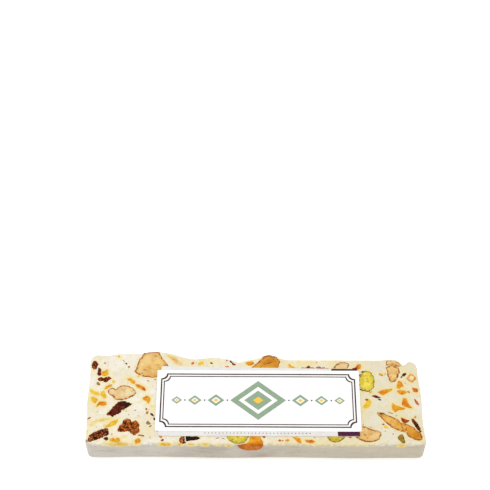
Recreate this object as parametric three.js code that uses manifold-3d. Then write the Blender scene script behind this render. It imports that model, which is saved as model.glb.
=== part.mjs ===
// A bar of white nougat lying flat, cut through its nuts and candied fruit, with a paper label on top.
// Millimetres. +X runs along the bar, +Y to its uneven back edge and +Z up through the cut face.
// The origin is in the middle of the bar's box, at its underside.
import * as THREE from 'three';
import { mergeVertices } from 'three/addons/utils/BufferGeometryUtils.js';
import Module from 'manifold-3d';

const wasm = await Module();
wasm.setup();

// ---- Driving dimensions ----
const barLength = 151;
const barHeight = 13;
const frontEdge = -22.6;        // y of the straight front edge
const backEdge = 21.4;          // y of the back edge between its swells
const endSlant = { left: 0.6, right: 1.2 };     // the left end leans in at the front, the right at the back
const edgeWave = 0.15;
const endWave = 0.25;
const cornerRadius = { front: 2.6, backLeft: 3, backRight: 3.8 };
const lengthSteps = 40;         // segments along the front and back edges
const endSteps = 10;            // segments along each end
const cornerSteps = 4;          // segments in a rounded corner of the bar
const kernelSteps = 20;         // points round an oval kernel
const pocketGap = 0.3;          // the nougat stands clear of each piece by this much
const pocketRise = 1;           // a pocket's cutter reaches this far above the cut face
const nutDepth = 6;
const fruitDepth = 4;
const peelDepth = 1.6;
const proudOfWall = 0.3;        // how far a piece cut by a wall may stand out of it
const label = { x: 2, y: -0.5, length: 89, width: 35, radius: 0.8, thickness: 0.2 };
const panel = { x: 1.5, y: -0.3, length: 91.4, width: 31.2, radius: 0.4, thickness: 0.2 };

// The back edge swells where nuts push it out: place along the bar, rise and reach of each swell.
const backSwells = [
  { at: -72, rise: 2.1, reach: 7 },
  { at: -60, rise: 2.9, reach: 6.5 },
  { at: -53, rise: 0.7, reach: 5 },
  { at: -45.5, rise: 3.7, reach: 8 },
  { at: -37, rise: 1.5, reach: 6 },
  { at: -18.5, rise: 1.3, reach: 6 },
  { at: -7.5, rise: -1.4, reach: 3.2 },
  { at: 6.5, rise: 2.5, reach: 5 },
  { at: 62, rise: 0.6, reach: 3 },
  { at: 67.8, rise: -2.6, reach: 1.6 },
  { at: 71.5, rise: -0.6, reach: 2.5 },
];

// The wall from underside to cut face: height, how far it draws in, and how much of a swell it shows.
const wallProfile = [
  { z: 0, drawIn: 1, swell: 0.45 },
  { z: 0.4, drawIn: 0.5, swell: 0.5 },
  { z: 1.4, drawIn: 0.15, swell: 0.55 },
  { z: 6, drawIn: 0, swell: 0.8 },
  { z: 11.8, drawIn: 0, swell: 1 },
  { z: 12.7, drawIn: 0.25, swell: 1 },
  { z: barHeight, drawIn: 0.7, swell: 1 },
];

// How a piece narrows below the cut face: share of its depth, and scale about its middle.
const nutProfile = [[0, 1], [0.55, 0.9], [1, 0.5]];
const fruitProfile = [[0, 1], [0.6, 0.92], [1, 0.6]];
const peelProfile = [[0, 1], [1, 0.75]];

// ---- Outlines ----
const vec = (x, y) => new THREE.Vector2(x, y);

// Corner points joined by straight sides, anticlockwise.
function cornerOutline(corners) {
  const points = corners.map(([x, y]) => vec(x, y));
  return THREE.ShapeUtils.isClockWise(points) ? points.reverse() : points;
}

// An oval kernel, a little blunter than an ellipse, with one end narrower than the other.
function ovalOutline({ at, length, width, turn, taper }, steps) {
  const turned = THREE.MathUtils.degToRad(turn);
  return Array.from({ length: steps }, (_, i) => {
    const angle = (2 * Math.PI * i) / steps;
    const along = (length / 2) * Math.cos(angle);
    const across = (width / 2) * Math.sin(angle) * (1 - taper * Math.cos(angle));
    return vec(along, across).rotateAround(vec(0, 0), turned).add(vec(...at));
  });
}

// A rectangle with rounded corners.
function cardOutline({ x, y, length, width, radius }) {
  const card = new THREE.Shape();
  const quarters = [[1, -1, -90], [1, 1, 0], [-1, 1, 90], [-1, -1, 180]];
  quarters.forEach(([right, up, from]) => {
    const start = THREE.MathUtils.degToRad(from);
    const centre = vec(x + right * (length / 2 - radius), y + up * (width / 2 - radius));
    card.absarc(centre.x, centre.y, radius, start, start + Math.PI / 2, false);
  });
  return card.getPoints(cornerSteps);
}

// Each point moved along the outline's outward normal.
function grown(points, distance) {
  return points.map((point, i) => {
    const before = points[(i + points.length - 1) % points.length];
    const after = points[(i + 1) % points.length];
    const along = after.clone().sub(before).normalize();
    return vec(point.x + along.y * distance, point.y - along.x * distance);
  });
}

function middleOf(points) {
  return points.reduce((sum, point) => sum.add(point), vec(0, 0)).divideScalar(points.length);
}

function scaledAbout(points, middle, scale) {
  return points.map((point) => middle.clone().lerp(point, scale));
}

// The back edge at x: straight, plus a smooth hump or dip for each swell.
function backAt(x, share) {
  const hump = ({ at, rise, reach }) => rise * Math.exp(-(((x - at) / reach) ** 2));
  return backEdge + share * backSwells.reduce((sum, swell) => sum + hump(swell), 0);
}

// The front edge is straight but for a slow wave left by the mould.
function frontAt(x) {
  return frontEdge + edgeWave * Math.sin(x / 9);
}

// The ends are nearly straight: the left one leans in towards the front, the right one towards the back.
function endAt(side, y) {
  const wave = endWave * Math.sin(y / 4 + side);
  const way = (y - frontEdge) / (backEdge - frontEdge);
  const lean = side > 0 ? endSlant.right * way : endSlant.left * (1 - way);
  return side * (barLength / 2 - lean - endWave) + wave;
}

function arc(centre, radius, fromDegrees) {
  return Array.from({ length: cornerSteps + 1 }, (_, i) => {
    const angle = THREE.MathUtils.degToRad(fromDegrees + (90 * i) / cornerSteps);
    return vec(centre.x + radius * Math.cos(angle), centre.y + radius * Math.sin(angle));
  });
}

// Evenly spaced values strictly between two ends.
function between(from, to, count) {
  return Array.from({ length: count - 1 }, (_, i) => from + ((to - from) * (i + 1)) / count);
}

// The bar's outline, anticlockwise from the front left, with a share of the back edge's swells.
function barOutline(share) {
  const { front, backLeft, backRight } = cornerRadius;
  const left = -barLength / 2;
  const right = barLength / 2;
  const corner = (side, radius, y) => vec(endAt(side, y) - side * radius, y);
  const frontLeft = corner(-1, front, frontEdge + front);
  const frontRight = corner(1, front, frontEdge + front);
  const rearRight = corner(1, backRight, backAt(right - backRight, share) - backRight);
  const rearLeft = corner(-1, backLeft, backAt(left + backLeft, share) - backLeft);
  return [
    ...arc(frontLeft, front, 180),
    ...between(frontLeft.x, frontRight.x, lengthSteps).map((x) => vec(x, frontAt(x))),
    ...arc(frontRight, front, 270),
    ...between(frontRight.y, rearRight.y, endSteps).map((y) => vec(endAt(1, y), y)),
    ...arc(rearRight, backRight, 0),
    ...between(rearRight.x, rearLeft.x, lengthSteps).map((x) => vec(x, backAt(x, share))),
    ...arc(rearLeft, backLeft, 90),
    ...between(rearLeft.y, frontLeft.y, endSteps).map((y) => vec(endAt(-1, y), y)),
  ];
}

// ---- Solids ----
// A closed body through a stack of outlines that all have the same number of points.
function loft(levels) {
  const count = levels[0].outline.length;
  const positions = levels.flatMap(({ z, outline }) => outline.flatMap(({ x, y }) => [x, y, z]));
  const faces = [];
  for (let level = 0; level < levels.length - 1; level += 1) {
    for (let i = 0; i < count; i += 1) {
      const low = level * count + i;
      const lowNext = level * count + ((i + 1) % count);
      faces.push(low, lowNext, lowNext + count, low, lowNext + count, low + count);
    }
  }
  const last = (levels.length - 1) * count;
  for (const [a, b, c] of THREE.ShapeUtils.triangulateShape(levels[0].outline, [])) {
    faces.push(a, c, b);
  }
  for (const [a, b, c] of THREE.ShapeUtils.triangulateShape(levels[levels.length - 1].outline, [])) {
    faces.push(last + a, last + b, last + c);
  }
  const body = new THREE.BufferGeometry();
  body.setAttribute('position', new THREE.Float32BufferAttribute(positions, 3));
  body.setIndex(faces);
  return body;
}

function solidFrom(geometry) {
  const bare = geometry.clone();
  bare.deleteAttribute('normal');
  bare.deleteAttribute('uv');
  const merged = mergeVertices(bare);
  const vertProperties = Float32Array.from(merged.attributes.position.array);
  const triVerts = Uint32Array.from(merged.index.array);
  return new wasm.Manifold(new wasm.Mesh({ numProp: 3, vertProperties, triVerts }));
}

function geometryFrom(solid) {
  const { vertProperties, triVerts } = solid.getMesh();
  const geometry = new THREE.BufferGeometry();
  geometry.setAttribute('position', new THREE.BufferAttribute(vertProperties, 3));
  geometry.setIndex(new THREE.BufferAttribute(triVerts, 1));
  return geometry;
}

// The plain bar before any pocket; grow pushes its walls and cut face out.
function barBody(grow) {
  return loft(wallProfile.map(({ z, drawIn, swell }, i) => ({
    z: i === wallProfile.length - 1 ? z + grow : z,
    outline: grown(barOutline(swell), grow - drawIn),
  })));
}

// A piece sunk in the cut face: its outline carried down its profile, flat at the bottom.
function sunkPiece(outline, profile, depth, gap) {
  const middle = middleOf(outline);
  const levels = profile.map(([share, scale]) => ({
    z: barHeight - share * depth,
    outline: grown(scaledAbout(outline, middle, scale), gap),
  }));
  if (gap > 0) {
    levels.unshift({ z: barHeight + pocketRise, outline: levels[0].outline });
  }
  return loft(levels.reverse());
}

// ---- What lies in the cut face ----
// Each piece is given by the corners of its section, or as an oval kernel.
const nutTan = 0xe3b271;
const nutPale = 0xdcc394;
const nutBrown = 0xc98a3e;
const kernelGreen = 0xd9c54f;
const figBrown = 0x4a2416;
const figRed = 0x7c3a1e;
const amber = 0xd98a2b;
const peelOrange = 0xe8931f;
const peelYellow = 0xeebf3a;
const peelRed = 0xc8541c;
const nougatCream = 0xf0ead2;
const paperGrey = 0xeceae8;
const paperWhite = 0xffffff;
const gloss = { nougat: 0.5, nut: 0.55, fig: 0.4, candied: 0.35, paper: 0.6 };      // as roughness

const almonds = [
  { name: 'almond_back_left', colour: nutTan, atWall: true, corners: [[-54.9, 14.7], [-54.1, 16],
    [-53.6, 18.6], [-52.9, 21.1], [-51.6, 22.6], [-50.8, 24.4], [-50.4, 26.6], [-44.9, 26.6], [-43.6, 24],
    [-42, 21.4], [-39.9, 18.5], [-39.6, 17], [-41.2, 13.4], [-45.6, 11.5], [-50.6, 12], [-52.8, 12.9]] },
  { name: 'almond_left', colour: nutPale, corners: [[-66.3, 4.2], [-65.6, 5.7], [-64.2, 6.2],
    [-62.6, 5.4], [-61.2, 6.8], [-59.8, 7.4], [-57.6, 7.3], [-55.4, 6.2], [-54, 5.1], [-53.2, 3.4],
    [-54.6, 1.9], [-57.2, 0.5], [-60, -0.4], [-62.4, 0], [-64.2, 1.8], [-65.8, 3]] },
  { name: 'almond_back_middle', colour: nutBrown, atWall: true, corners: [[-4.8, 15.4], [-1.2, 17.5],
    [1.2, 19.6], [3.2, 22], [4.6, 26], [8.8, 26], [10.3, 22.2], [11.6, 20.2], [10.9, 17.8], [10, 15.2],
    [3, 13], [-3.4, 13.6]] },
  { name: 'almond_back_right', colour: nutPale, corners: [[34.9, 15.4], [36, 17.6], [37.2, 19.1],
    [38.8, 20], [41.4, 20.2], [42.8, 19.2], [42.9, 18], [41.4, 15], [37.6, 14.2]] },
  { name: 'almond_right', colour: nutTan, corners: [[60, 17.6], [60.2, 13], [60.7, 11], [62, 9.5],
    [63.8, 10.1], [64.8, 12.2], [65.9, 14.6], [65.7, 16.6], [64.6, 17.8], [62.9, 18.5], [61, 18.3]] },
  { name: 'almond_right_chip', colour: nutBrown, corners: [[59.8, 18.5], [60, 20.4], [60.6, 21.3],
    [62.6, 21.2], [65, 20.5], [66.8, 19], [66.3, 17.9], [65, 18.2], [63.1, 19], [61.1, 18.8]] },
  { name: 'almond_long_left', colour: nutTan, corners: [[54.3, -6.4], [56.2, -6.4], [58.2, -6.9],
    [60.8, -8.1], [63, -9.2], [65, -11.1], [66.3, -15.7], [64.2, -15.4], [61.8, -14.3], [59.6, -12.6],
    [57.4, -10.4], [55.6, -8.2]] },
  { name: 'almond_long_right', colour: nutBrown, corners: [[65.6, -11.4], [67, -11.6], [68.6, -12.5],
    [70.4, -13.5], [71.9, -15.1], [73.3, -16.4], [74.1, -17.9], [73.5, -19.5], [72.2, -20], [70.4, -19.5],
    [68.4, -18.3], [67.3, -17.4], [66.8, -15.7]] },
  { name: 'almond_front_right', colour: nutPale, corners: [[44.4, -18.4], [45.4, -14.8], [47.2, -13.2],
    [48.8, -13.2], [50.4, -13.9], [52, -14.6], [54.2, -15.1], [55.7, -15.9], [55.8, -17.4], [54.6, -19.7],
    [53, -20.5], [51, -20.9], [49, -20.8], [46, -19.7]] },
];

const pistachios = [
  { name: 'pistachio_right', colour: kernelGreen, oval: { at: [50.6, 10.1], length: 11, width: 7.2,
    turn: 86, taper: 0.08 } },
  { name: 'pistachio_front_right', colour: kernelGreen, oval: { at: [35.8, -17.4], length: 8, width: 7.4,
    turn: 0, taper: 0.1 } },
  { name: 'pistachio_front_middle', colour: kernelGreen, oval: { at: [-7.5, -17.5], length: 9.8, width: 9,
    turn: 4, taper: -0.06 } },
];
const pistachioChip = { name: 'pistachio_chip', colour: kernelGreen, corners: [[62.9, -18.4],
  [63.4, -17.6], [64.5, -16.7], [65.3, -17], [65.9, -19.2], [66.2, -20.8], [65.7, -21.6], [64.8, -21.3],
  [63.2, -19.5]] };

const figs = [
  { name: 'fig_diagonal', colour: figBrown, corners: [[-61.2, -1.4], [-59.6, -0.8], [-58, -0.8],
    [-56.4, -1.4], [-54.8, -2.1], [-56.2, -3.4], [-57.2, -4.5], [-59.4, -5.5], [-60.2, -6.8],
    [-62.2, -7.9], [-63.1, -8.8], [-64.4, -8.1], [-66.2, -7.8], [-64.8, -5.9], [-63.4, -3.7],
    [-62.2, -2.1]] },
  { name: 'fig_cluster', colour: figRed, corners: [[-60.5, -15], [-59.9, -13.2], [-58.9, -12],
    [-58.7, -10.7], [-57.6, -10.1], [-56.4, -9.5], [-55.3, -10.3], [-54.6, -11.2], [-53.6, -11.1],
    [-52.8, -10.4], [-51.8, -11.4], [-51.1, -12.8], [-51.2, -14.2], [-50.7, -15.6], [-51, -16.8],
    [-52, -17.3], [-53, -18.1], [-54.2, -17.5], [-55, -16.4], [-56.4, -15.7], [-57.4, -16.3],
    [-59, -16.5], [-60.2, -16]] },
  { name: 'fig_corner', colour: figBrown, corners: [[-73.9, -21.2], [-73.8, -20.2], [-73.2, -18.7],
    [-72.2, -17.5], [-70.4, -16.1], [-68.4, -15.3], [-66.6, -14.8], [-64.9, -14.8], [-64.6, -16.2],
    [-64.2, -17.7], [-65.4, -18.4], [-67.4, -19.2], [-69.6, -20.3], [-71.8, -21.1], [-73.2, -21.6]] },
  { name: 'fig_back_left', colour: figBrown, corners: [[-74.7, 18.6], [-74.1, 19.4], [-73.6, 20.3],
    [-72.4, 20.3], [-71.3, 18.8], [-71.9, 17.4], [-72.3, 15.9], [-73.4, 15.7], [-74.5, 16.8]] },
  { name: 'fig_stub', colour: figBrown, corners: [[-71.4, 16.8], [-70.6, 16.6], [-69.9, 15.9],
    [-69.8, 12.7], [-70.9, 12.4], [-71.9, 13.4], [-71.4, 14.8]] },
  { name: 'fig_bar', colour: figRed, corners: [[-71.3, 10.3], [-70.9, 11.2], [-69.6, 11.7], [-68.6, 11.3],
    [-67, 12], [-66.1, 12], [-64.9, 11.1], [-66.2, 10.1], [-66.8, 9.1], [-68, 8.9], [-68.7, 9.8],
    [-70.4, 9.6]] },
  { name: 'fig_strip', colour: figBrown, corners: [[-30.4, -18.4], [-27.5, -18.2], [-25.4, -18.3],
    [-23.7, -19.3], [-25.4, -20.2], [-27.4, -20.4], [-30.3, -20.9]] },
  { name: 'fig_strip_end', colour: figRed, corners: [[-33.2, -19.6], [-32.3, -18.5], [-30.8, -18.4],
    [-30.8, -20.8], [-30, -21.5], [-31.2, -22], [-32.5, -21.7], [-33.2, -20.6]] },
  { name: 'fig_sliver', colour: figBrown, corners: [[69.6, -9.1], [70.8, -9.2], [72, -11.3],
    [73.1, -13.4], [73.8, -15.2], [73.2, -15.8], [71.8, -14.5], [70.8, -12.6], [69.9, -10.8]] },
  { name: 'cherry_chip', colour: peelRed, corners: [[65, -8.4], [66.8, -9.3], [68.7, -10], [67.8, -10.9],
    [66.8, -11.4], [65.6, -10.9], [65.1, -9.8]] },
];

const amberFruit = { name: 'candied_fruit', colour: amber, atWall: true, corners: [[-2.2, -17.2],
  [2.1, -17.2], [2.7, -19.4], [3.6, -21], [3.9, -25], [-11.2, -25], [-10, -22.9], [-6, -22.3],
  [-3.6, -21.8], [-2.3, -20.6]] };

const peels = [
  { colour: peelYellow, corners: [[-74.5, 5.1], [-73.3, 4.8], [-72.2, 4.1], [-70.6, 3.5], [-69.9, 2.4],
    [-71.4, 2.5], [-72.9, 3.1], [-73.9, 4]] },
  { colour: peelYellow, corners: [[-69.3, 3.8], [-68, 4.4], [-67.5, 3.4], [-66.8, 2.2], [-66.7, 1.1],
    [-67.6, 0.4], [-68.4, 1.6], [-69.3, 2.4]] },
  { colour: peelYellow, corners: [[-73.4, 1.4], [-72.3, 1.3], [-71, 0.5], [-70.4, -0.2], [-71.1, -0.9],
    [-71.2, -1.9], [-72.1, -1.6], [-73, -0.7]] },
  { colour: peelOrange, corners: [[-70.7, -3.9], [-70.5, -2.5], [-69.4, -1.1], [-67.8, -1], [-66.6, -1.2],
    [-66.4, -2.6], [-67.8, -3.3], [-69, -2.9], [-69.9, -3.1]] },
  { colour: peelYellow, corners: [[-69.5, 14.7], [-68.2, 14.9], [-67.5, 15.7], [-66.8, 15.2],
    [-66.8, 13.9], [-66.2, 13.3], [-67.8, 12.4], [-69.4, 12.4]] },
  { colour: peelOrange, corners: [[-57.7, 10.8], [-56.3, 11.1], [-55.3, 10.2], [-54.1, 9.2], [-54.4, 8.3],
    [-55.5, 8.4], [-56.2, 9.5], [-57.3, 10.1]] },
  { colour: peelRed, corners: [[-54, 8.1], [-52.6, 7.8], [-51.2, 7.2], [-50, 6.4], [-49.2, 5.3],
    [-49.5, 4.5], [-50.4, 4.8], [-51.8, 5.8], [-53.4, 6.7]] },
  { colour: peelOrange, corners: [[-50.1, 1], [-48.5, 2], [-47.3, 1.2], [-46.9, 0.4], [-47.1, -1],
    [-47.7, -2.1], [-48.4, -0.8], [-49.6, -0.3], [-50.2, 0.2]] },
  { colour: peelYellow, corners: [[-66.5, -14.3], [-65.1, -12.8], [-63.9, -11.5], [-62.4, -10.6],
    [-60.9, -10], [-60.8, -11], [-61.9, -12.5], [-63.6, -13.4]] },
  { colour: peelYellow, corners: [[-64, -20], [-62.4, -19.4], [-61.4, -20], [-60.4, -19.2],
    [-59.5, -19.7], [-59.3, -21.5], [-60.2, -21.9], [-61.8, -21.4], [-63.5, -20.9]] },
  { colour: peelOrange, corners: [[-52.7, -20.6], [-52, -19.8], [-50.9, -19.5], [-50.1, -20.6],
    [-50.5, -21.6], [-51.6, -22], [-52.4, -21.9]] },
  { colour: peelYellow, corners: [[-39.8, 23.3], [-38, 22.9], [-36, 21.9], [-34.4, 20.3], [-32.9, 18.5],
    [-34.6, 18.5], [-36.4, 19.6], [-38, 21.3]] },
  { colour: peelOrange, corners: [[-4, 19.6], [-3, 20.2], [-1.6, 20.3], [-0.5, 19.9], [-0.5, 18.9],
    [-1.6, 18.3], [-3, 18.2], [-3.7, 18.8]] },
  { colour: peelRed, corners: [[44.2, 16.5], [46, 17.6], [47, 19], [48.3, 19], [48.2, 16.5],
    [46.4, 15.9]] },
  { colour: peelOrange, corners: [[55.2, 4.2], [56.8, 5.2], [58.6, 5.7], [60.6, 5.9], [61.9, 6.3],
    [61.7, 5.2], [60, 4.3], [58.8, 3.5], [57.6, 2.9], [56.3, 3.5]] },
  { colour: peelOrange, corners: [[61.6, -1.2], [62.8, -2.3], [64.6, -3], [67.2, -3.8], [66.2, -4.6],
    [64.2, -4.7], [62.6, -5.9], [61.4, -4.3], [61.3, -2.8]] },
  { colour: peelOrange, corners: [[66.4, 1.3], [68, 1.2], [68.5, -0.8], [69.2, -2.2], [70.4, -3.7],
    [68.8, -3.6], [67.1, -3], [65.7, -2], [66.2, -0.4]] },
  { colour: peelOrange, corners: [[64.9, 10.3], [66.1, 9.9], [66.7, 8.9], [67.1, 7.4], [65.7, 6.8],
    [65.2, 6.1], [63.9, 6.6], [64.2, 8]] },
  { colour: peelOrange, corners: [[63.8, 5.1], [64.9, 5.5], [67.4, 5.3], [68.4, 4.4], [67.6, 3.6],
    [66.4, 3.1], [65.1, 3.6]] },
  { colour: peelRed, corners: [[70.9, 6.7], [72.2, 6.5], [73.4, 6.2], [73.4, 4.6], [72.6, 4.2],
    [71.5, 4.6]] },
  { colour: peelYellow, corners: [[68.5, 11.6], [69.6, 12.7], [70.6, 14.1], [72.2, 13.3], [73, 11.8],
    [71.3, 9.4], [69.8, 10.2]] },
  { colour: peelYellow, corners: [[50.7, 0.3], [51.8, 0], [51.8, -1.2], [51.2, -2.7], [50.4, -3.7],
    [49.4, -4.1], [48.3, -3.5], [48.6, -2.7], [49.7, -1.8]] },
  { colour: peelOrange, corners: [[16.6, -18.4], [18, -18.7], [19.5, -18.9], [20.1, -19.4], [20.4, -21.2],
    [20.2, -21.8], [19.2, -21.4], [18.3, -20.4]] },
  { colour: peelOrange, corners: [[22.1, -20], [23.6, -19.9], [25.1, -19.9], [26.7, -20.7], [25.2, -21.7],
    [24, -21.6], [22.8, -21]] },
  { colour: peelYellow, corners: [[-67.7, 5.6], [-67.3, 6.9], [-66, 7.6], [-64.6, 8.1], [-64.6, 7.1],
    [-65.4, 6.7], [-66, 6.3], [-66.6, 5.4]] },
].map((peel, i) => ({ name: `peel_${String(i + 1).padStart(2, '0')}`, ...peel }));

// ---- The bar ----
function finish(colour, roughness) {
  return new THREE.MeshStandardMaterial({ color: colour, roughness, metalness: 0 });
}

function named(name, geometry, material) {
  const mesh = new THREE.Mesh(geometry, material);
  mesh.name = name;
  return mesh;
}

const bar = new THREE.Group();
const wallLimit = solidFrom(barBody(proudOfWall));
const plainTop = solidFrom(barBody(0));
let nougat = plainTop;

// Cuts a piece's pocket out of the nougat and puts the piece in it.
function setIn({ name, colour, atWall }, outline, profile, depth, roughness) {
  nougat = nougat.subtract(solidFrom(sunkPiece(outline, profile, depth, pocketGap)));
  let piece = sunkPiece(outline, profile, depth, 0);
  if (atWall) {
    piece = geometryFrom(solidFrom(piece).intersect(wallLimit));
  }
  bar.add(named(name, piece, finish(colour, roughness)));
}

for (const almond of almonds) {
  setIn(almond, cornerOutline(almond.corners), nutProfile, nutDepth, gloss.nut);
}
for (const kernel of pistachios) {
  setIn(kernel, ovalOutline(kernel.oval, kernelSteps), nutProfile, nutDepth, gloss.nut);
}
setIn(pistachioChip, cornerOutline(pistachioChip.corners), fruitProfile, fruitDepth, gloss.nut);
for (const fig of figs) {
  setIn(fig, cornerOutline(fig.corners), fruitProfile, fruitDepth, gloss.fig);
}
setIn(amberFruit, cornerOutline(amberFruit.corners), nutProfile, nutDepth, gloss.candied);
for (const peel of peels) {
  setIn(peel, cornerOutline(peel.corners), peelProfile, peelDepth, gloss.candied);
}
bar.add(named('nougat', geometryFrom(nougat), finish(nougatCream, gloss.nougat)));

// The label: a paper sticker on the cut face, with a broader white panel pasted over its print.
function card(shape, z) {
  const outline = cardOutline(shape);
  return loft([{ z, outline }, { z: z + shape.thickness, outline }]);
}
bar.add(named('label_base', card(label, barHeight), finish(paperGrey, gloss.paper)));
bar.add(named('label_panel', card(panel, barHeight + label.thickness), finish(paperWhite, gloss.paper)));

// The whole is shifted so that its box is centred on the origin.
const box = new THREE.Box3().setFromObject(bar);
bar.position.set(-(box.min.x + box.max.x) / 2, -(box.min.y + box.max.y) / 2, 0);

export default bar;
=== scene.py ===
import math

import bpy
import numpy as np
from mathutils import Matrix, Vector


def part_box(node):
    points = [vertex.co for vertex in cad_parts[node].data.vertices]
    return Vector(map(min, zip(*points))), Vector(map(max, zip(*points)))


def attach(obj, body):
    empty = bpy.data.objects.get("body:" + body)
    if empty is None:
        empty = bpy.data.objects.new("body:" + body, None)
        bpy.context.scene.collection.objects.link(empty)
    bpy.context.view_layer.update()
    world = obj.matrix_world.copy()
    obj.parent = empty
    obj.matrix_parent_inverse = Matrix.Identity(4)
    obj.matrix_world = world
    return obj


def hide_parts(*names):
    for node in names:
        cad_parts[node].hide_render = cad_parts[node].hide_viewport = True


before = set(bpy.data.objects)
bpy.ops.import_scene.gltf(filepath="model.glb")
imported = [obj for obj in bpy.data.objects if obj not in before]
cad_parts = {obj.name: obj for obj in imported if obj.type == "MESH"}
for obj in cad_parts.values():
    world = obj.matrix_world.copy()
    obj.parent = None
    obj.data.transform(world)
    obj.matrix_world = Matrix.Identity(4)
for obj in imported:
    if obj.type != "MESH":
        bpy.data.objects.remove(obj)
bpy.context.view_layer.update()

mm = 0.001
fullTurn = 2 * math.pi

# Plan places are measured from the middle of the straight-sided bar, as in the CAD part's own plan.
# The label panel's middle is known both in that plan and in the frame, and gives the shift.
panelPlan = (1.5, -0.3)
panelLow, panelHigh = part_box("label_panel")
shiftX = (panelLow.x + panelHigh.x) / 2 / mm - panelPlan[0]
shiftY = (panelLow.y + panelHigh.y) / 2 / mm - panelPlan[1]

bar = {
    "length": 151.0,
    "front": -22.6,
    "back": 21.4,
    "height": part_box("nougat")[1].z / mm,
    "leanLeft": 0.6,            # how far the left end leans in at the front
    "leanRight": 1.2,           # and the right end at the back
    "frontCorner": 2.6,
    "backLeftCorner": 3.0,
    "backRightCorner": 3.8,
    "grid": 0.45,               # spacing of the surface's points
    # place along the back edge, rise and reach of each swell
    "swells": [(-72, 2.1, 7), (-60, 2.9, 6.5), (-53, 0.7, 5), (-45.5, 3.7, 8), (-37, 1.5, 6),
               (-18.5, 1.3, 6), (-7.5, -1.4, 3.2), (6.5, 2.5, 5), (62, 0.6, 3),
               (67.8, -2.6, 1.6), (71.5, -0.6, 2.5)],
}


def linearColour(code, alpha=1.0):
    # sRGB hex to linear light
    channel = np.array([int(code[i:i + 2], 16) for i in (0, 2, 4)]) / 255
    bright = ((channel + 0.055) / 1.055) ** 2.4
    return (*np.where(channel <= 0.04045, channel / 12.92, bright).tolist(), alpha)


def addNode(tree, kind, settings=None, links=None):
    # A node with its settings (a socket's value where the name or number is a socket) and its links.
    node = tree.nodes.new(kind)
    sockets = node.inputs
    for key, value in (settings or {}).items():
        if isinstance(key, int) or key in sockets:
            sockets[key].default_value = value
        else:
            setattr(node, key, value)
    for key, source in (links or {}).items():
        tree.links.new(source, sockets[key])
    return node


def perMm(size):
    # noise scale that gives features about this many mm across, on Object coordinates in metres
    return 1 / (size * mm)


def ramp(low, high, value):
    # smooth step from 0 at low to 1 at high
    share = np.clip((value - low) / (high - low), 0, 1)
    return share * share * (3 - 2 * share)


def waves(points, size, seed, count=14):
    # Smooth noise, about -1 to 1: a sum of sine waves in random directions, each about size long.
    rng = np.random.default_rng(seed)
    heading = rng.normal(size=(count, 3))
    heading /= np.linalg.norm(heading, axis=1, keepdims=True)
    wavelength = size * rng.uniform(0.7, 1.6, (count, 1))
    phase = rng.uniform(0, fullTurn, count)
    return np.sin(points @ (heading / wavelength).T * fullTurn + phase).sum(-1) / math.sqrt(count)


def withHeight(x, y, z):
    return np.stack(np.broadcast_arrays(x, y, z), axis=-1).astype(float)


def makePiece(name, points, faces, material, stands=(), notes=None, crisp=False):
    # One finished piece from plan points in mm: mesh, point attributes, material and body.
    # A crisp piece keeps its folded or cut edges sharp.
    mesh = bpy.data.meshes.new(name)
    placed = (np.asarray(points, float).reshape(-1, 3) + (shiftX, shiftY, 0)) * mm
    mesh.from_pydata(placed.tolist(), [], faces)
    for label, values in (notes or {}).items():
        layer = mesh.attributes.new(label, "FLOAT", "POINT")
        layer.data.foreach_set("value", np.asarray(values, np.float32).ravel())
    mesh.shade_smooth()
    if crisp:
        mesh.set_sharp_from_angle(angle=math.radians(40))
    mesh.materials.append(material)
    piece = bpy.data.objects.new(name, mesh)
    bpy.context.scene.collection.objects.link(piece)
    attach(piece, "root")
    if stands:
        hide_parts(*stands)
    return piece


def ringFaces(rings, around, start=0):
    # Faces of a closed body of rings: a fan at its first point, bands, and a fan at its last point.
    here = np.arange(around)
    nxt = (here + 1) % around
    first = start + 1
    last = start + 1 + rings * around
    fan = np.stack([np.full(around, start), first + here, first + nxt], 1)
    inner = first + around * np.arange(rings - 1)[:, None]
    bands = np.stack([inner + here, inner + around + here, inner + around + nxt, inner + nxt], -1)
    end = last - around
    close = np.stack([end + here, np.full(around, last), end + nxt], 1)
    return fan.tolist() + bands.reshape(-1, 4).tolist() + close.tolist()


def gridLoop(nu, nv):
    # the outline of a grid of points, as a loop of point numbers
    ids = np.arange(nu * nv).reshape(nu, nv)
    return np.concatenate([ids[:-1, 0], ids[-1, :-1], ids[:0:-1, -1], ids[0, :0:-1]])


def gridFaces(nu, nv, rows=0):
    # Faces of a closed body: a grid of points above, the same grid below, and between their outlines
    # this many rows of wall points.
    ids = np.arange(nu * nv).reshape(nu, nv)
    cells = np.stack([ids[:-1, :-1], ids[1:, :-1], ids[1:, 1:], ids[:-1, 1:]], -1).reshape(-1, 4)
    loop = gridLoop(nu, nv)
    firstRow = 2 * nu * nv
    bands = [loop] + [firstRow + len(loop) * k + np.arange(len(loop)) for k in range(rows)]
    bands.append(loop + nu * nv)
    walls = [np.stack([above, below, np.roll(below, -1), np.roll(above, -1)], 1)
             for above, below in zip(bands[:-1], bands[1:])]
    return cells.tolist() + (cells[:, ::-1] + nu * nv).tolist() + np.concatenate(walls).tolist()


def joined(bodies, rings, around):
    # Several closed bodies of rings as one list of points and faces.
    size = 2 + rings * around
    faces = [face for i in range(len(bodies)) for face in ringFaces(rings, around, i * size)]
    return np.concatenate(bodies), faces


def frontAt(x):
    return bar["front"] + 0.15 * np.sin(x / 9)


def backAt(x, share):
    # straight, plus a smooth hump or dip for each swell
    humps = [rise * np.exp(-(((x - at) / reach) ** 2)) for at, rise, reach in bar["swells"]]
    return bar["back"] + share * sum(humps)


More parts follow.
